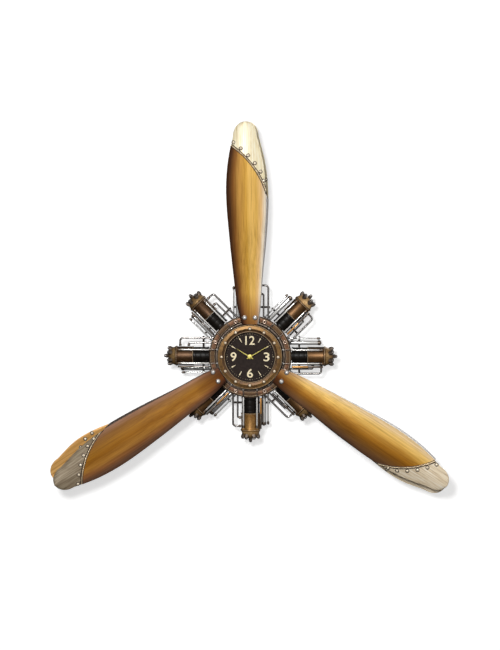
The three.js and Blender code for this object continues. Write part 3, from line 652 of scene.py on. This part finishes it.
def back_cap_loop(x, side):
    """Cross-section of a back cap: a flat leaf with rolled rims, shifted to the leading side."""
    trailing, leading = edges(x)
    half, middle = max((trailing - leading) / 2, 0.02), (trailing + leading) / 2 - leaf_shift(x, side)
    low = back_depth(x)
    roll = min(1.8, half * 0.6)
    dish = 1.2 * min(half / 20, 1)
    loop = []
    for k in range(FRONT_STEPS + 1):
        t = 1 - 2 * k / FRONT_STEPS
        z = low + LEAF - dish * (1 - t * t)
        if abs(t) > 0.9:
            z -= roll * 0.5 * ((abs(t) - 0.9) / 0.1) ** 2
        loop.append((middle + half * t, z))
    for y, z in ((-half, low + roll), (-half + roll, low), (0, low), (half - roll, low), (half, low + roll)):
        loop.append((middle + y, z))
    return loop


def meets_arc(loop_at, column, radius):
    """Where a column of a cross-section crosses the arc, found by halving."""
    low, high = 370.0, 575.0

    def outside(x):
        y = loop_at(x)[column][0]
        return math.hypot(x - ARC_CENTRE.x, y - ARC_CENTRE.y) > radius

    for _ in range(22):
        middle = (low + high) / 2
        if outside(middle):
            high = middle
        else:
            low = middle
    return (low + high) / 2


def lofted(loop_at, starts, ends, shares):
    """Skin whose column j runs from starts[j] to ends[j]; shares are the row positions, 0 to 1."""
    rows = []
    for share in shares:
        row = []
        for column, (start, end) in enumerate(zip(starts, ends)):
            x = start + (end - start) * share
            y, z = loop_at(x)[column]
            row.append(Vector((x, y, z)))
        rows.append(row)
    return grid(rows)


def blade_meshes(side):
    columns = len(wood_loop(300))
    ends = [meets_arc(wood_loop, j, ARC_RADIUS) for j in range(columns)]
    rows = 64
    wood = lofted(wood_loop, [ROOT_START] * columns, ends, [k / rows for k in range(rows + 1)])
    soup = Soup()
    points, faces = wood
    bands = ([], [], [])
    for n, face in enumerate(faces):
        column = n % columns if n < rows * columns else columns
        bands[0 if column < FRONT_STEPS else 1 if column < FRONT_STEPS + 8 else 2].append(face)
    for slot, band in enumerate(bands):
        soup.add((points, band), slot=slot)
    meshes = {"wood": soup.mesh("blade_wood", 30)}
    mark_across(meshes["wood"])

    tip = [math.sin(math.pi / 2 * k / 30) for k in range(31)]
    for key, loop_at in (("front", cap_loop), ("back", lambda x: back_cap_loop(x, side))):
        columns = len(loop_at(500))
        starts = [meets_arc(loop_at, j, ARC_RADIUS + 0.4) for j in range(columns)]
        shape = lofted(loop_at, starts, [TIP_END - 0.05] * columns, tip)
        meshes[key] = Soup().add(shape).mesh("cap_" + key, 40)
    meshes["rib"] = rib_mesh()
    meshes["rivets"] = cap_rivet_mesh(side)
    meshes["cord"] = cord_mesh()
    return meshes


def mark_across(mesh):
    """Stores on every point how far it lies between the leading edge (0) and the trailing edge (1),
    and how far along it is from the foot, which takes painted shade (0), to the unshaded wood (1)."""
    foot = mesh.attributes.new("foot", "FLOAT", "POINT")
    for vertex, item in zip(mesh.vertices, foot.data):
        item.value = min(max((vertex.co.x / MM - 88) / 75, 0), 1)
    layer = mesh.attributes.new("across", "FLOAT", "POINT")
    for vertex, item in zip(mesh.vertices, layer.data):
        trailing, leading = edges(vertex.co.x / MM)
        item.value = (vertex.co.y / MM - leading) / (trailing - leading)


def inside_edges(point, margin):
    trailing, leading = edges(point.x)
    return leading + margin <= point.y <= trailing - margin


def rib_mesh():
    """The curved wall that spaces the two caps apart."""
    rows = []
    for k in range(41):
        turn = 33 + k * 1.06
        if not inside_edges(on_arc(ARC_RADIUS + 6, turn), 5):
            continue
        row = []
        for radius, high in ((0.6, 0), (0.6, 1), (8, 1), (8, 0)):
            spot = on_arc(ARC_RADIUS + radius, turn)
            low = back_depth(spot.x) + LEAF + 0.3
            top = edge_depth(spot.x) - LEAF - 0.3
            row.append(Vector((spot.x, spot.y, low + (top - low) * high)))
        rows.append(row)
    return Soup().add(grid(rows)).mesh("tip_rib", 40)


def cap_rivet_mesh(side):
    soup = Soup()
    for k in range(6):
        spot = on_arc(CAP_RIVET_RADIUS, 33.2 + 6.5 * k)
        trailing, leading = edges(spot.x)
        y = min(max(spot.y, leading + 5), trailing - 5)
        slope = (front_height(spot.x, y + 1) - front_height(spot.x, y - 1)) / 2
        tilt = Matrix.Rotation(math.atan(slope), 4, "X")
        level = front_height(spot.x, y) - 1.1
        # near-black collar under each rivet head: painted shade round the head
        collar = turned([(0, -0.6), (5.2, -0.6), (5.2, 0.35), (0, 0.35)], 0.3, 24, False)
        seat = shift(spot.x, y, level) @ tilt
        soup.add(collar, seat, 1)
        soup.add(dome(3.9, 2.6), seat @ shift(z=0.35))
        seat = shift(spot.x + 2, y - leaf_shift(spot.x, side), back_depth(spot.x) + LEAF - 0.6)
        soup.add(collar, seat, 1)
        soup.add(dome(3.7, 2.2), seat @ shift(z=0.3))
    return soup.mesh("cap_rivets", 50)


def cord_mesh():
    """The beaded cord along the hem of the front cap, between two near-black wires that are painted shade for the
    grooves beside it.
    """
    soup = Soup()
    for offset, radius, lobes, slot in ((-0.9, 0.9, 0, 1), (1.6, 1.5, 3, 0), (4.2, 0.9, 0, 1)):
        path = []
        for k in range(420):
            spot = on_arc(ARC_RADIUS + offset, 30 + k * 0.113)
            if inside_edges(spot, 0.8):
                path.append(Vector((spot.x, spot.y, front_height(spot.x, spot.y) - (0.5 if slot else 0.2))))
        soup.add(sweep(path, radius, 10, lobes, 0.42), slot=slot)
    return soup.mesh("hem_cord", 60)


def build_blades():
    for side, angle in BLADE_ANGLES.items():
        meshes = blade_meshes(side)
        # the left blade's back leaf takes the painted warm reflection; the others reuse their cap metal
        leaf = LEAF_WARM_REFLECTION if side == "left" else CAPS[side]
        show(f"wood_{side}", meshes["wood"], [WOODS[side], *SIDES[side]], nodes=[f"blade_{side}"], angle=angle)
        show(f"front_cap_{side}", meshes["front"], [CAPS[side]], nodes=[f"tip_cap_front_{side}"], angle=angle)
        show(f"back_cap_{side}", meshes["back"], [leaf], nodes=[f"tip_cap_back_{side}"], angle=angle)
        show(f"rib_{side}", meshes["rib"], [DARK_BRONZE], nodes=[f"tip_rib_{side}"], angle=angle)
        show(f"cap_rivets_{side}", meshes["rivets"], [STUD_CREAM, DARK_METAL_AND_SHADE], angle=angle)
        show(f"hem_cord_{side}", meshes["cord"], [HEM, DARK_METAL_AND_SHADE], angle=angle)


def build_blade_bolts():
    soup = Soup()
    ring = turned([(88, CASE_TOP + 0.3), (104.5, CASE_TOP + 0.3), (104.5, 58), (88, 58)], 0.3, 96)
    soup.add(ring)
    for angle in ROOT_ANGLES:
        for side in (-13.3, 13.3):
            seat = around(angle) @ shift(100.5, side, 0)
            soup.add(bar((0, 0, 57), (0, 0, 84.6), 1.5), seat)
            soup.add(turned([(0, 83.9), (6.4, 83.9), (6.4, 84.8), (0, 84.8)], 0.3, 28, False), seat, 1)
            soup.add(dome(5.2, 4.2, 8, 28), seat @ shift(z=84.8))
    show("blade_bolts_set", soup.mesh("blade_bolts_set", 40), [BOLT, DARK_STEEL], nodes=["blade_bolts"])


# ---------- hub ----------
def thin_ring(radius, height, size):
    """A painted highlight along an edge: a fine round wire about the hub axis."""
    wire = [(radius + size * math.cos(k * math.pi / 4), height + size * math.sin(k * math.pi / 4)) for k in range(8)]
    return revolve(wire, 160)


def build_hub():
    ring = turned([(76, RING_BACK), (RING_RADIUS, RING_BACK), (RING_RADIUS, LIP_TOP), (103.2, LIP_TOP),
                   (103.2, RING_TOP), (76, RING_TOP)], 0.5, 128)
    show("crankcase_flange", Soup().add(ring).mesh("crankcase_flange"), [DARK_BRONZE],
         nodes=["crankcase_ring"])

    soup = Soup()
    low = RING_TOP + 0.3
    soup.add(thin_ring(101.2, BAND_TOP, 0.75), slot=4)
    soup.add(thin_ring(91.4, BAND_TOP, 0.5), slot=4)
    steps = 10
    section = rounded([(90.8, low), (102.4, low), (102.4, BAND_TOP), (90.8, BAND_TOP)], 0.4)
    for k in range(CYLINDERS):
        for middle, half, slot in ((45 * k, 8.2, 0), (45 * k + 22.5, 13.6, 2)):
            rows = []
            for i in range(steps + 1):
                turn = middle - half + 2 * half * i / steps
                rows.append([around(turn) @ Vector((r, 0, z)) for r, z in section])
            soup.add(grid(rows), slot=slot)
    carrier = turned([(91.6, low), (101.6, low), (101.6, BAND_TOP - 0.5), (91.6, BAND_TOP - 0.5)], 0.2, 128)
    soup.add(carrier, slot=1)
    for k in range(CYLINDERS):
        seat = around(22.5 + 45 * k) @ shift(95.5)
        soup.add(turned([(2, BAND_TOP - 0.3), (6.1, BAND_TOP - 0.3), (6.1, BAND_TOP + 0.6), (2, BAND_TOP + 0.6)], 0.3, 28), seat, 1)
        soup.add(turned([(2.2, BAND_TOP), (5.4, BAND_TOP), (5, BAND_TOP + 3.1), (2.2, BAND_TOP + 3.1)], 0.9, 28), seat, 3)
    show("flange_band", soup.mesh("flange_band", 35), [DEEP_BRONZE, DARK_BRONZE, RED_BRONZE, ROSE, EDGE_HIGHLIGHT], nodes=["clamp_band"])

    bezel = turned([(79.5, RING_TOP + 0.3), (BEZEL_RADIUS, RING_TOP + 0.3), (BEZEL_RADIUS, 81.2), (80.2, 82.6),
                    (79.6, 82.2), (RIVET_CIRCLE, BEZEL_TOP), (66, 82.4), (65.2, 82.9), (DIAL_OPENING, 81.6),
                    (DIAL_OPENING, DIAL_TOP + 0.3), (65, DIAL_TOP + 0.3), (65, 80), (79.5, 80)], 0.7, 160)
    points, faces = bezel
    inner = [sum(math.hypot(*points[c][:2]) for c in face) / len(face) < 71 for face in faces]
    soup = Soup()
    soup.add((points, [face for face, low in zip(faces, inner) if not low]))
    soup.add((points, [face for face, low in zip(faces, inner) if low]), slot=2)
    soup.add(thin_ring(81.3, 81.2, 0.75), slot=1)
    soup.add(thin_ring(64.4, 82.5, 0.6), slot=1)
    show("bezel_ring", soup.mesh("bezel_ring", 28), [BRONZE, EDGE_HIGHLIGHT, DEEP_BRONZE], nodes=["bezel"])
    soup = Soup()
    for k in range(12):
        seat = around(30 * k) @ shift(RIVET_CIRCLE, 0, BEZEL_TOP - 0.2)
        soup.add(turned([(0, -0.4), (4.4, -0.4), (4.4, 0.5), (0, 0.5)], 0.3, 24, False), seat, 1)
        soup.add(dome(3.6, 2.6, 7, 24), seat @ shift(z=0.5))
    show("bezel_studs", soup.mesh("bezel_studs", 40), [GOLD, DARK_BRONZE], nodes=["bezel_rivets"])


def dial_text(text, x, y, height, width):
    curve = bpy.data.curves.new("figure_" + text, "FONT")
    curve.body = text
    curve.align_x = "CENTER"
    curve.align_y = "CENTER"
    curve.extrude = 0.012
    curve.offset = 0.012
    holder = bpy.data.objects.new("figure_" + text, curve)
    bpy.context.scene.collection.objects.link(holder)
    bpy.context.view_layer.update()
    mesh = bpy.data.meshes.new_from_object(holder.evaluated_get(bpy.context.evaluated_depsgraph_get()))
    bpy.data.objects.remove(holder)
    corners = [vertex.co for vertex in mesh.vertices]
    low = Vector((min(c.x for c in corners), min(c.y for c in corners)))
    high = Vector((max(c.x for c in corners), max(c.y for c in corners)))
    centre, size = (low + high) / 2, high - low
    points = []
    for corner in corners:
        points.append((x + (corner.x - centre.x) * width / size.x, y + (corner.y - centre.y) * height / size.y,
                       DIAL_TOP + 0.12 + corner.z * 8))
    return points, [tuple(polygon.vertices) for polygon in mesh.polygons]


def wedge(inner, outer, narrow, wide, high):
    """A flat tapered marker along +y."""
    section = [(-narrow / 2, inner), (narrow / 2, inner), (wide / 2, outer), (-wide / 2, outer)]
    rows = [[Vector((x, y, z)) for x, y in section] for z in (DIAL_TOP + 0.02, DIAL_TOP + high)]
    return grid(rows)


def build_dial():
    face = turned([(4.6, 71.5), (DIAL_RADIUS, 71.5), (DIAL_RADIUS, DIAL_TOP), (4.6, DIAL_TOP)], 0.2, 128)
    show("dial_face", Soup().add(face).mesh("dial_face"), [DIAL], nodes=["dial"])
    soup = Soup()
    for text, place, width in (("12", (0, 42), 24), ("3", (42, 0), 15), ("6", (0, -42), 15), ("9", (-42, 0), 15)):
        soup.add(dial_text(text, *place, 22.5, width))
    for hour in range(12):
        if hour % 3:
            soup.add(wedge(42, 54, 0.8, 3.2, 0.3), around(30 * hour))
    for minute in range(60):
        soup.add(wedge(57.6, 58.8 if minute % 5 else 59.4, 0.45 if minute % 5 else 1.1, 0.5 if minute % 5 else 1.3, 0.2),
                 around(6 * minute))
    show("dial_figures", soup.mesh("dial_figures", 30), [PRINT])
    nut = Soup().add(hexagon(7, DIAL_TOP + 0.3, 75.2, 0.5, 4.6))
    show("bushing_nut", nut.mesh("bushing_nut"), [BRASS], nodes=["mounting_nut"])


def hand_shape(length, tail, width, low, high):
    """A tapered hand along +y with a ridge down its middle."""
    ridge = (high - low) * 0.9
    rows = []
    outline = ((-tail, width * 0.42), (-tail + 0.8, width * 0.5), (0, width * 0.42), (length * 0.3, width * 0.55),
               (length * 0.97, 0.7), (length, 0.2))
    for along, wide in outline:
        half = wide / 2
        rows.append([Vector((-half, along, low)), Vector((half, along, low)), Vector((half, along, low + 0.35)),
                     Vector((0, along, low + 0.35 + ridge * min(half / 2, 0.7))), Vector((-half, along, low + 0.35))])
    return grid(rows)


def build_hands():
    hands = (("hour", 149, 40, 9, 5.0, 77, 78, 3.3, 5.6), ("minute", 31, 55, 9, 4.2, 80.6, 81.6, 1.8, 4.6))
    for name, angle, length, tail, width, low, high, bore, hub in hands:
        soup = Soup().add(hand_shape(length, tail, width, low, high))
        soup.add(turned([(bore, low), (hub, low), (hub, high), (bore, high)], 0.2, 40))
        show(name + "_pointer", soup.mesh(name + "_pointer", 25), [HAND_GOLD], name, [name + "_hand"], angle - 90)
    nut = turned([(1.8, 82), (3, 82), (3, 84.4), (2, 85.6), (0, 85.6), (0, 84.9), (1.8, 84.9)], 0.4, 32, False)
    show("hand_cap_nut", Soup().add(nut).mesh("hand_cap_nut"), [HAND_GOLD], "minute", ["hand_nut"])


# ---------- engine ----------
def along_x(shape):
    """A shape turned about z, laid along the cylinder's axis."""
    matrix = shift(z=AXIS_DEPTH) @ Matrix.Rotation(math.pi / 2, 4, "Y")
    return [matrix @ Vector(p) for p in shape[0]], shape[1]


def barrel_mesh():
    start = CASE_FLAT + 0.3
    corners = [(0, start), (10.5, start), (10.5, 105.6), (BARREL_RADIUS + 1, 105.6), (BARREL_RADIUS + 1, 108),
               (BARREL_RADIUS, 108.4)]
    x = 112
    while x < BARREL_END - 4:
        corners += [(BARREL_RADIUS, x), (BARREL_RADIUS - 0.5, x + 0.3), (BARREL_RADIUS - 0.5, x + 0.7), (BARREL_RADIUS, x + 1)]
        x += 13
    corners += [(BARREL_RADIUS, BARREL_END), (0, BARREL_END)]
    return Soup().add(along_x(turned(corners, 0.25, 56, False))).mesh("barrel", 35)


def head_mesh():
    soup = Soup()
    start = BARREL_END + 0.3
    corners = [(0, start), (HEAD_RADIUS - 0.3, start), (HEAD_RADIUS + 0.5, start + 0.6), (HEAD_RADIUS + 0.5, start + 2),
               (HEAD_RADIUS - 0.2, start + 2.6), (HEAD_RADIUS - 0.2, 186), (25.2, 186.8), (25.2, 191), (23.4, 192.2),
               (22.4, 196), (19.6, 201), (15.2, 205.5), (9, 209), (0, 211)]
    points, faces = along_x(turned(corners, 0.8, 56, False))
    domed = [min(points[c].x for c in face) > 191.5 for face in faces]
    soup.add((points, [face for face, out in zip(faces, domed) if not out]))
    soup.add((points, [face for face, out in zip(faces, domed) if out]), slot=1)
    soup.add(along_x(thin_ring(25.2, 189, 0.6)), slot=2)
    soup.add(along_x(thin_ring(HEAD_RADIUS + 0.2, start + 1.3, 0.6)), slot=2)
    for side in (-1, 1):
        y = side * ROD_OFFSET
        block = [(176, y - 3.2), (187, y - 3.2), (187, y + 3.2), (176, y + 3.2)]
        outline = rounded(block, 1.5)
        rows = [[Vector((px, py, z)) for px, py in outline] for z in (AXIS_DEPTH + 8, 61, 62.6)]
        rows[-1] = [Vector((181.5 + (v.x - 181.5) * 0.86, y + (v.y - y) * 0.76, v.z + 0.8)) for v in rows[-1]]
        soup.add(grid(rows))
    return soup.mesh("head", 35)


def stud_mesh():
    """The dark nuts and studs round the dome of a head."""
    soup = Soup()
    for radius, turn, x in [(16.5, 30 + 60 * k, 200) for k in range(6)]:
        tilt = Matrix.Rotation(math.radians(90 - 24), 4, "Y")
        seat = shift(x, 0, AXIS_DEPTH) @ Matrix.Rotation(math.radians(turn), 4, "X") @ shift(0, 0, radius) @ tilt
        soup.add(hexagon(5.6, -1, 9.4, 1.0), seat)
        soup.add(turned([(0, 8.6), (3.8, 8.6), (3.8, 12.0), (0, 13.2)], 1.1, 16, False), seat, 1)
    apex = along_x(revolve([(0, 206), (5.6, 206), (5.6, 215.4), (4.6, 216.4), (0, 216.4)], 6, False))
    soup.add(apex)
    soup.add(along_x(turned([(0, 215), (3.8, 215), (3.8, HEAD_REACH), (0, HEAD_REACH + 1.5)], 0.8, 16, False)), slot=1)
    return soup.mesh("studs", 35)


def bend(corners, radius, steps=8):
    """A path through the corners with a round elbow at each inner one."""
    return rounded([Vector(c) for c in corners], radius, steps, loop=False)


def dense(path, gap=3.0):
    """The path with points no further apart than the gap."""
    result = [path[0]]
    for point in path[1:]:
        steps = max(1, math.ceil((point - result[-1]).length / gap))
        start = result[-1].copy()
        result += [start.lerp(point, k / steps) for k in range(1, steps + 1)]
    return result


def pipe_mesh(lower_side):
    """Two bent pipes on the clockwise side, two straight tubes on the other, on one bracket bar."""
    soup = Soup()
    bent_depth, straight_depth = 40, 27
    for side, start, elbow, radius in ((-45, 95, 180, 2.6), (-33, 97, 158, 2.3)):
        path = bend([(start, side, bent_depth), (elbow, side, bent_depth), (elbow, -25.5, bent_depth)], 13)
        soup.add(sweep(dense(path, 20), radius, 12), slot=4)
        foot = (elbow, -24.5, bent_depth)
        soup.add(bar(foot, (elbow, -29.5, bent_depth), 3.6, 20), slot=1)
        soup.add(bar((elbow, -29, bent_depth), (elbow, -31, bent_depth), 2.7, 20), slot=1)
        soup.add(bar((122.5, side, 8), (122.5, side, bent_depth), 1.2, 8), slot=2)
    for side, start, end, radius in ((44, 94.5, 172, 2.0), (33, 97, 174, 5.4)):
        soup.add(bar((start, side, straight_depth), (end, side, straight_depth), radius, 24))
        soup.add(bar((end - 3, side, straight_depth), (end + 4, side, straight_depth), radius + 1.1, 20, 0.7), slot=1)
        soup.add(bar((end + 3, side, straight_depth), (end + 6, side, straight_depth), radius * 0.6, 14, 0.5), slot=1)
        soup.add(bar((122.5, side, 8), (122.5, side, straight_depth), 1.2, 8), slot=2)
    outline = rounded([(120, -48), (125, -48), (125, 48), (120, 48)], 1.5)
    soup.add(grid([[Vector((px, py, z)) for px, py in outline] for z in (6, 9.5)]), slot=2)
    # A bar along the side of the barrel that faces down; its inner part carries a painted copper reflection on some
    # cylinders.
    beside = lower_side * 26.5
    soup.add(bar((106, beside, 57), (147, beside, 57), 2.8, 24), slot=3)
    soup.add(bar((146, beside, 57), (185, beside, 57), 2.5, 24), slot=1)
    soup.add(bar((122.5, beside, 8), (122.5, beside, 57), 0.9, 8), slot=2)
    return soup.mesh("pipes", 40)


def build_engine():
    barrel, head, studs = barrel_mesh(), head_mesh(), stud_mesh()
    pipes = {side: pipe_mesh(side) for side in (-1, 1)}
    # Cylinders 1, 2, 6 and 7 get the painted copper reflection on that bar; the rest keep grey steel.
    copper_reflection_by_cylinder = {1: COPPER_REFLECTION, 2: COPPER_REFLECTION, 6: COPPER_REFLECTION, 7: COPPER_REFLECTION}
    for k in range(CYLINDERS):
        angle, n = 45 * k, k + 1
        show(f"sleeve_{n}", barrel, [BLACK], nodes=[f"barrel_{n}"], angle=angle)
        show(f"head_{n}", head.copy(), [*HEADS.get(n, (BARREL_BRONZE, DOME_HIGHLIGHT)), EDGE_HIGHLIGHT], nodes=[f"cylinder_head_{n}"], angle=angle)
        show(f"head_studs_{n}", studs, [DARK_STEEL, GREY_STEEL], angle=angle)
        lower_side = -1 if angle < 90 or angle > 270 else 1
        mesh = pipes[lower_side].copy()
        looks = [CHROME, DARK_STEEL, DARK_METAL_AND_SHADE, copper_reflection_by_cylinder.get(n, GREY_STEEL), PIPE]
        show(f"tubes_{n}", mesh, looks, nodes=[f"pipes_{n}"], angle=angle)

    soup = Soup()
    low = RING_TOP + 0.3
    soup.add(turned([(84.2, low), (87.8, low), (87.8, 65), (84.2, 65)], 0.4, 128), slot=1)
    for k in range(CYLINDERS):
        for side in (-1, 1):
            y = side * ROD_OFFSET
            soup.add(bar((86, y, ROD_DEPTH), (105, y, ROD_DEPTH), 1.5, 16, 0.4), around(45 * k), 1)
            soup.add(bar((104, y, ROD_DEPTH), (ROD_END, y, ROD_DEPTH), ROD_RADIUS, 20, 0.8), around(45 * k))
            tip = dome(3.0, 2.2, 6, 18)
            soup.add(tip, around(45 * k) @ shift(83.6, y, ROD_DEPTH) @ Matrix.Rotation(math.radians(-50), 4, "Y"))
            soup.add(bar((ROD_END - 7, y, ROD_DEPTH), (ROD_END - 1, y, ROD_DEPTH), ROD_RADIUS + 0.8, 18, 0.6),
                     around(45 * k), 1)
    show("push_rod_set", soup.mesh("push_rod_set", 40), [ROD, DARK_STEEL], nodes=["push_rods"])


# ---------- crankcase and the back ----------
def build_crankcase():
    corner = CASE_FLAT / math.cos(math.pi / CYLINDERS)
    outline = [polar(corner, 22.5 + 45 * k) for k in range(CYLINDERS)]
    soft = rounded([tuple(p) for p in outline], 4, 6)
    rows = []
    for inset, z in ((0.8, 3.3), (0, 4.1), (0, CASE_TOP - 0.8), (0.8, CASE_TOP)):
        share = 1 - inset / corner
        rows.append([Vector((p.x * share, p.y * share, z)) for p in soft])
    bore = []
    for z in (CASE_TOP, 3.3):
        bore.append([Vector((*(p.normalized() * 86), z)) for p in soft])
    shape = grid(rows + bore, closed_rows=True)
    show("crankcase_drum", Soup().add(shape).mesh("crankcase_drum", 30), [DARK_BRONZE], nodes=["crankcase"])


def dress_inner_nodes():
    looks = {"back_plate": STEEL, "movement_case": PLASTIC, "movement_cover": PLASTIC, "battery": CELL,
             "circuit_board": BOARD, "motor_coil": COPPER, "minute_arbor": BRASS, "hour_wheel": PLASTIC,
             "setting_wheel": PLASTIC, "set_knob": PLASTIC}
    for node, material in looks.items():
        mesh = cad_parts[node].data
        mesh.materials.clear()
        mesh.materials.append(material)


# ---------- studio ----------
def one_sided(name, colour):
    """A pale surface that the camera can see from its front only."""
    material, nodes, links, shader = node_material(name)
    shader.inputs["Base Color"].default_value = (*colour, 1)
    shader.inputs["Roughness"].default_value = 0.9
    shader.inputs["Emission Color"].default_value = (1, 1, 1, 1)
    shader.inputs["Emission Strength"].default_value = 0.60
    clear = nodes.new("ShaderNodeBsdfTransparent")
    geometry = nodes.new("ShaderNodeNewGeometry")
    mix = nodes.new("ShaderNodeMixShader")
    links.new(geometry.outputs["Backfacing"], mix.inputs["Fac"])
    links.new(shader.outputs["BSDF"], mix.inputs[1])
    links.new(clear.outputs["BSDF"], mix.inputs[2])
    links.new(mix.outputs["Shader"], nodes["Material Output"].inputs["Surface"])
    return material


def stage_plane(name, centre, size, facing):
    mesh = bpy.data.meshes.new(name)
    half = size / 2
    mesh.from_pydata([(-half, -half, 0), (half, -half, 0), (half, half, 0), (-half, half, 0)], [], [(0, 1, 2, 3)])
    plane = bpy.data.objects.new(name, mesh)
    bpy.context.scene.collection.objects.link(plane)
    plane.matrix_world = Matrix.Translation(centre) @ Vector((0, 0, 1)).rotation_difference(Vector(facing)).to_matrix().to_4x4()
    mesh.materials.append(one_sided(name + "_surface", (0.66, 0.66, 0.66)))
    plane.visible_glossy = False
    plane.visible_diffuse = False


def area_light(name, place, target, size, power, colour=(1, 1, 1), shadow=True):
    data = bpy.data.lights.new(name, "AREA")
    data.shape = "DISK"
    data.size = size
    data.energy = power
    data.color = colour
    data.use_shadow = shadow
    lamp = bpy.data.objects.new(name, data)
    bpy.context.scene.collection.objects.link(lamp)
    lamp.location = place
    lamp.rotation_euler = (Vector(target) - Vector(place)).to_track_quat("-Z", "Y").to_euler()
    return lamp


def build_world():
    world = bpy.data.worlds.new("studio")
    bpy.context.scene.world = world
    world.use_nodes = True
    nodes, links = world.node_tree.nodes, world.node_tree.links
    background = nodes["Background"]
    where = nodes.new("ShaderNodeTexCoord")
    dot = nodes.new("ShaderNodeVectorMath")
    dot.operation = "DOT_PRODUCT"
    dot.inputs[1].default_value = Vector((0.75, -0.1, 0.65)).normalized()
    links.new(where.outputs["Generated"], dot.inputs[0])
    span = nodes.new("ShaderNodeMapRange")
    span.inputs["From Min"].default_value = -1
    links.new(dot.outputs["Value"], span.inputs["Value"])
    shade = ramp_node(nodes, [(0.0, (0.01, 0.009, 0.008)), (0.42, (0.03, 0.027, 0.025)), (0.6, (0.10, 0.095, 0.09)), (0.85, (0.4, 0.39, 0.38))])
    links.new(span.outputs["Result"], shade.inputs["Fac"])
    path = nodes.new("ShaderNodeLightPath")
    mix = nodes.new("ShaderNodeMixRGB")
    mix.inputs["Color2"].default_value = (0.95, 0.95, 0.95, 1)
    links.new(path.outputs["Is Camera Ray"], mix.inputs["Fac"])
    links.new(shade.outputs["Color"], mix.inputs["Color1"])
    links.new(mix.outputs["Color"], background.inputs["Color"])


CAMERA_AZIMUTH = 3.0
CAMERA_ELEVATION = 4.0
CAMERA_DISTANCE = 8.0
PICTURE_HEIGHT = 1.651
HUB_BELOW_CENTRE = 0.0808


def build_camera():
    data = bpy.data.cameras.new("camera")
    camera = bpy.data.objects.new("camera", data)
    bpy.context.scene.collection.objects.link(camera)
    a, e = math.radians(CAMERA_AZIMUTH), math.radians(CAMERA_ELEVATION)
    back = Vector((math.sin(a) * math.cos(e), -math.cos(a) * math.cos(e), math.sin(e)))
    camera.rotation_mode = "QUATERNION"
    camera.rotation_quaternion = (-back).to_track_quat("-Z", "Y")
    up = camera.rotation_quaternion @ Vector((0, 1, 0))
    camera.location = Vector((0, -DIAL_TOP * MM, 0)) + up * HUB_BELOW_CENTRE + back * CAMERA_DISTANCE
    data.sensor_width = 36
    data.lens = 36 * CAMERA_DISTANCE / PICTURE_HEIGHT
    bpy.context.scene.camera = camera


def build_studio():
    stage_plane("wall_backdrop", (0, 0.004, 0), 14, (0, -1, 0))
    stage_plane("pale_floor", (0, 0, -1.25), 14, (0, 0, 1))
    area_light("key", (-0.7, -5.0, 1.5), (0, 0, 0), 1.1, 185)
    area_light("softbox", (2.6, -1.8, 1.4), (0, 0, 0), 1.4, 10, (1, 0.98, 0.95), False)
    area_light("front_fill", (0.3, -4.5, 0.4), (0, 0, 0), 2.6, 8, (1, 1, 1), False)
    area_light("back_fill", (1.5, 3, 1.5), (0, 0, 0), 2, 40)
    build_world()
    build_camera()
    settings = bpy.context.scene.view_settings
    settings.view_transform = "Standard"
    bpy.context.scene.cycles.use_denoising = True


build_blades()
build_blade_bolts()
build_hub()
build_dial()
build_hands()
build_engine()
build_crankcase()
dress_inner_nodes()
build_studio()
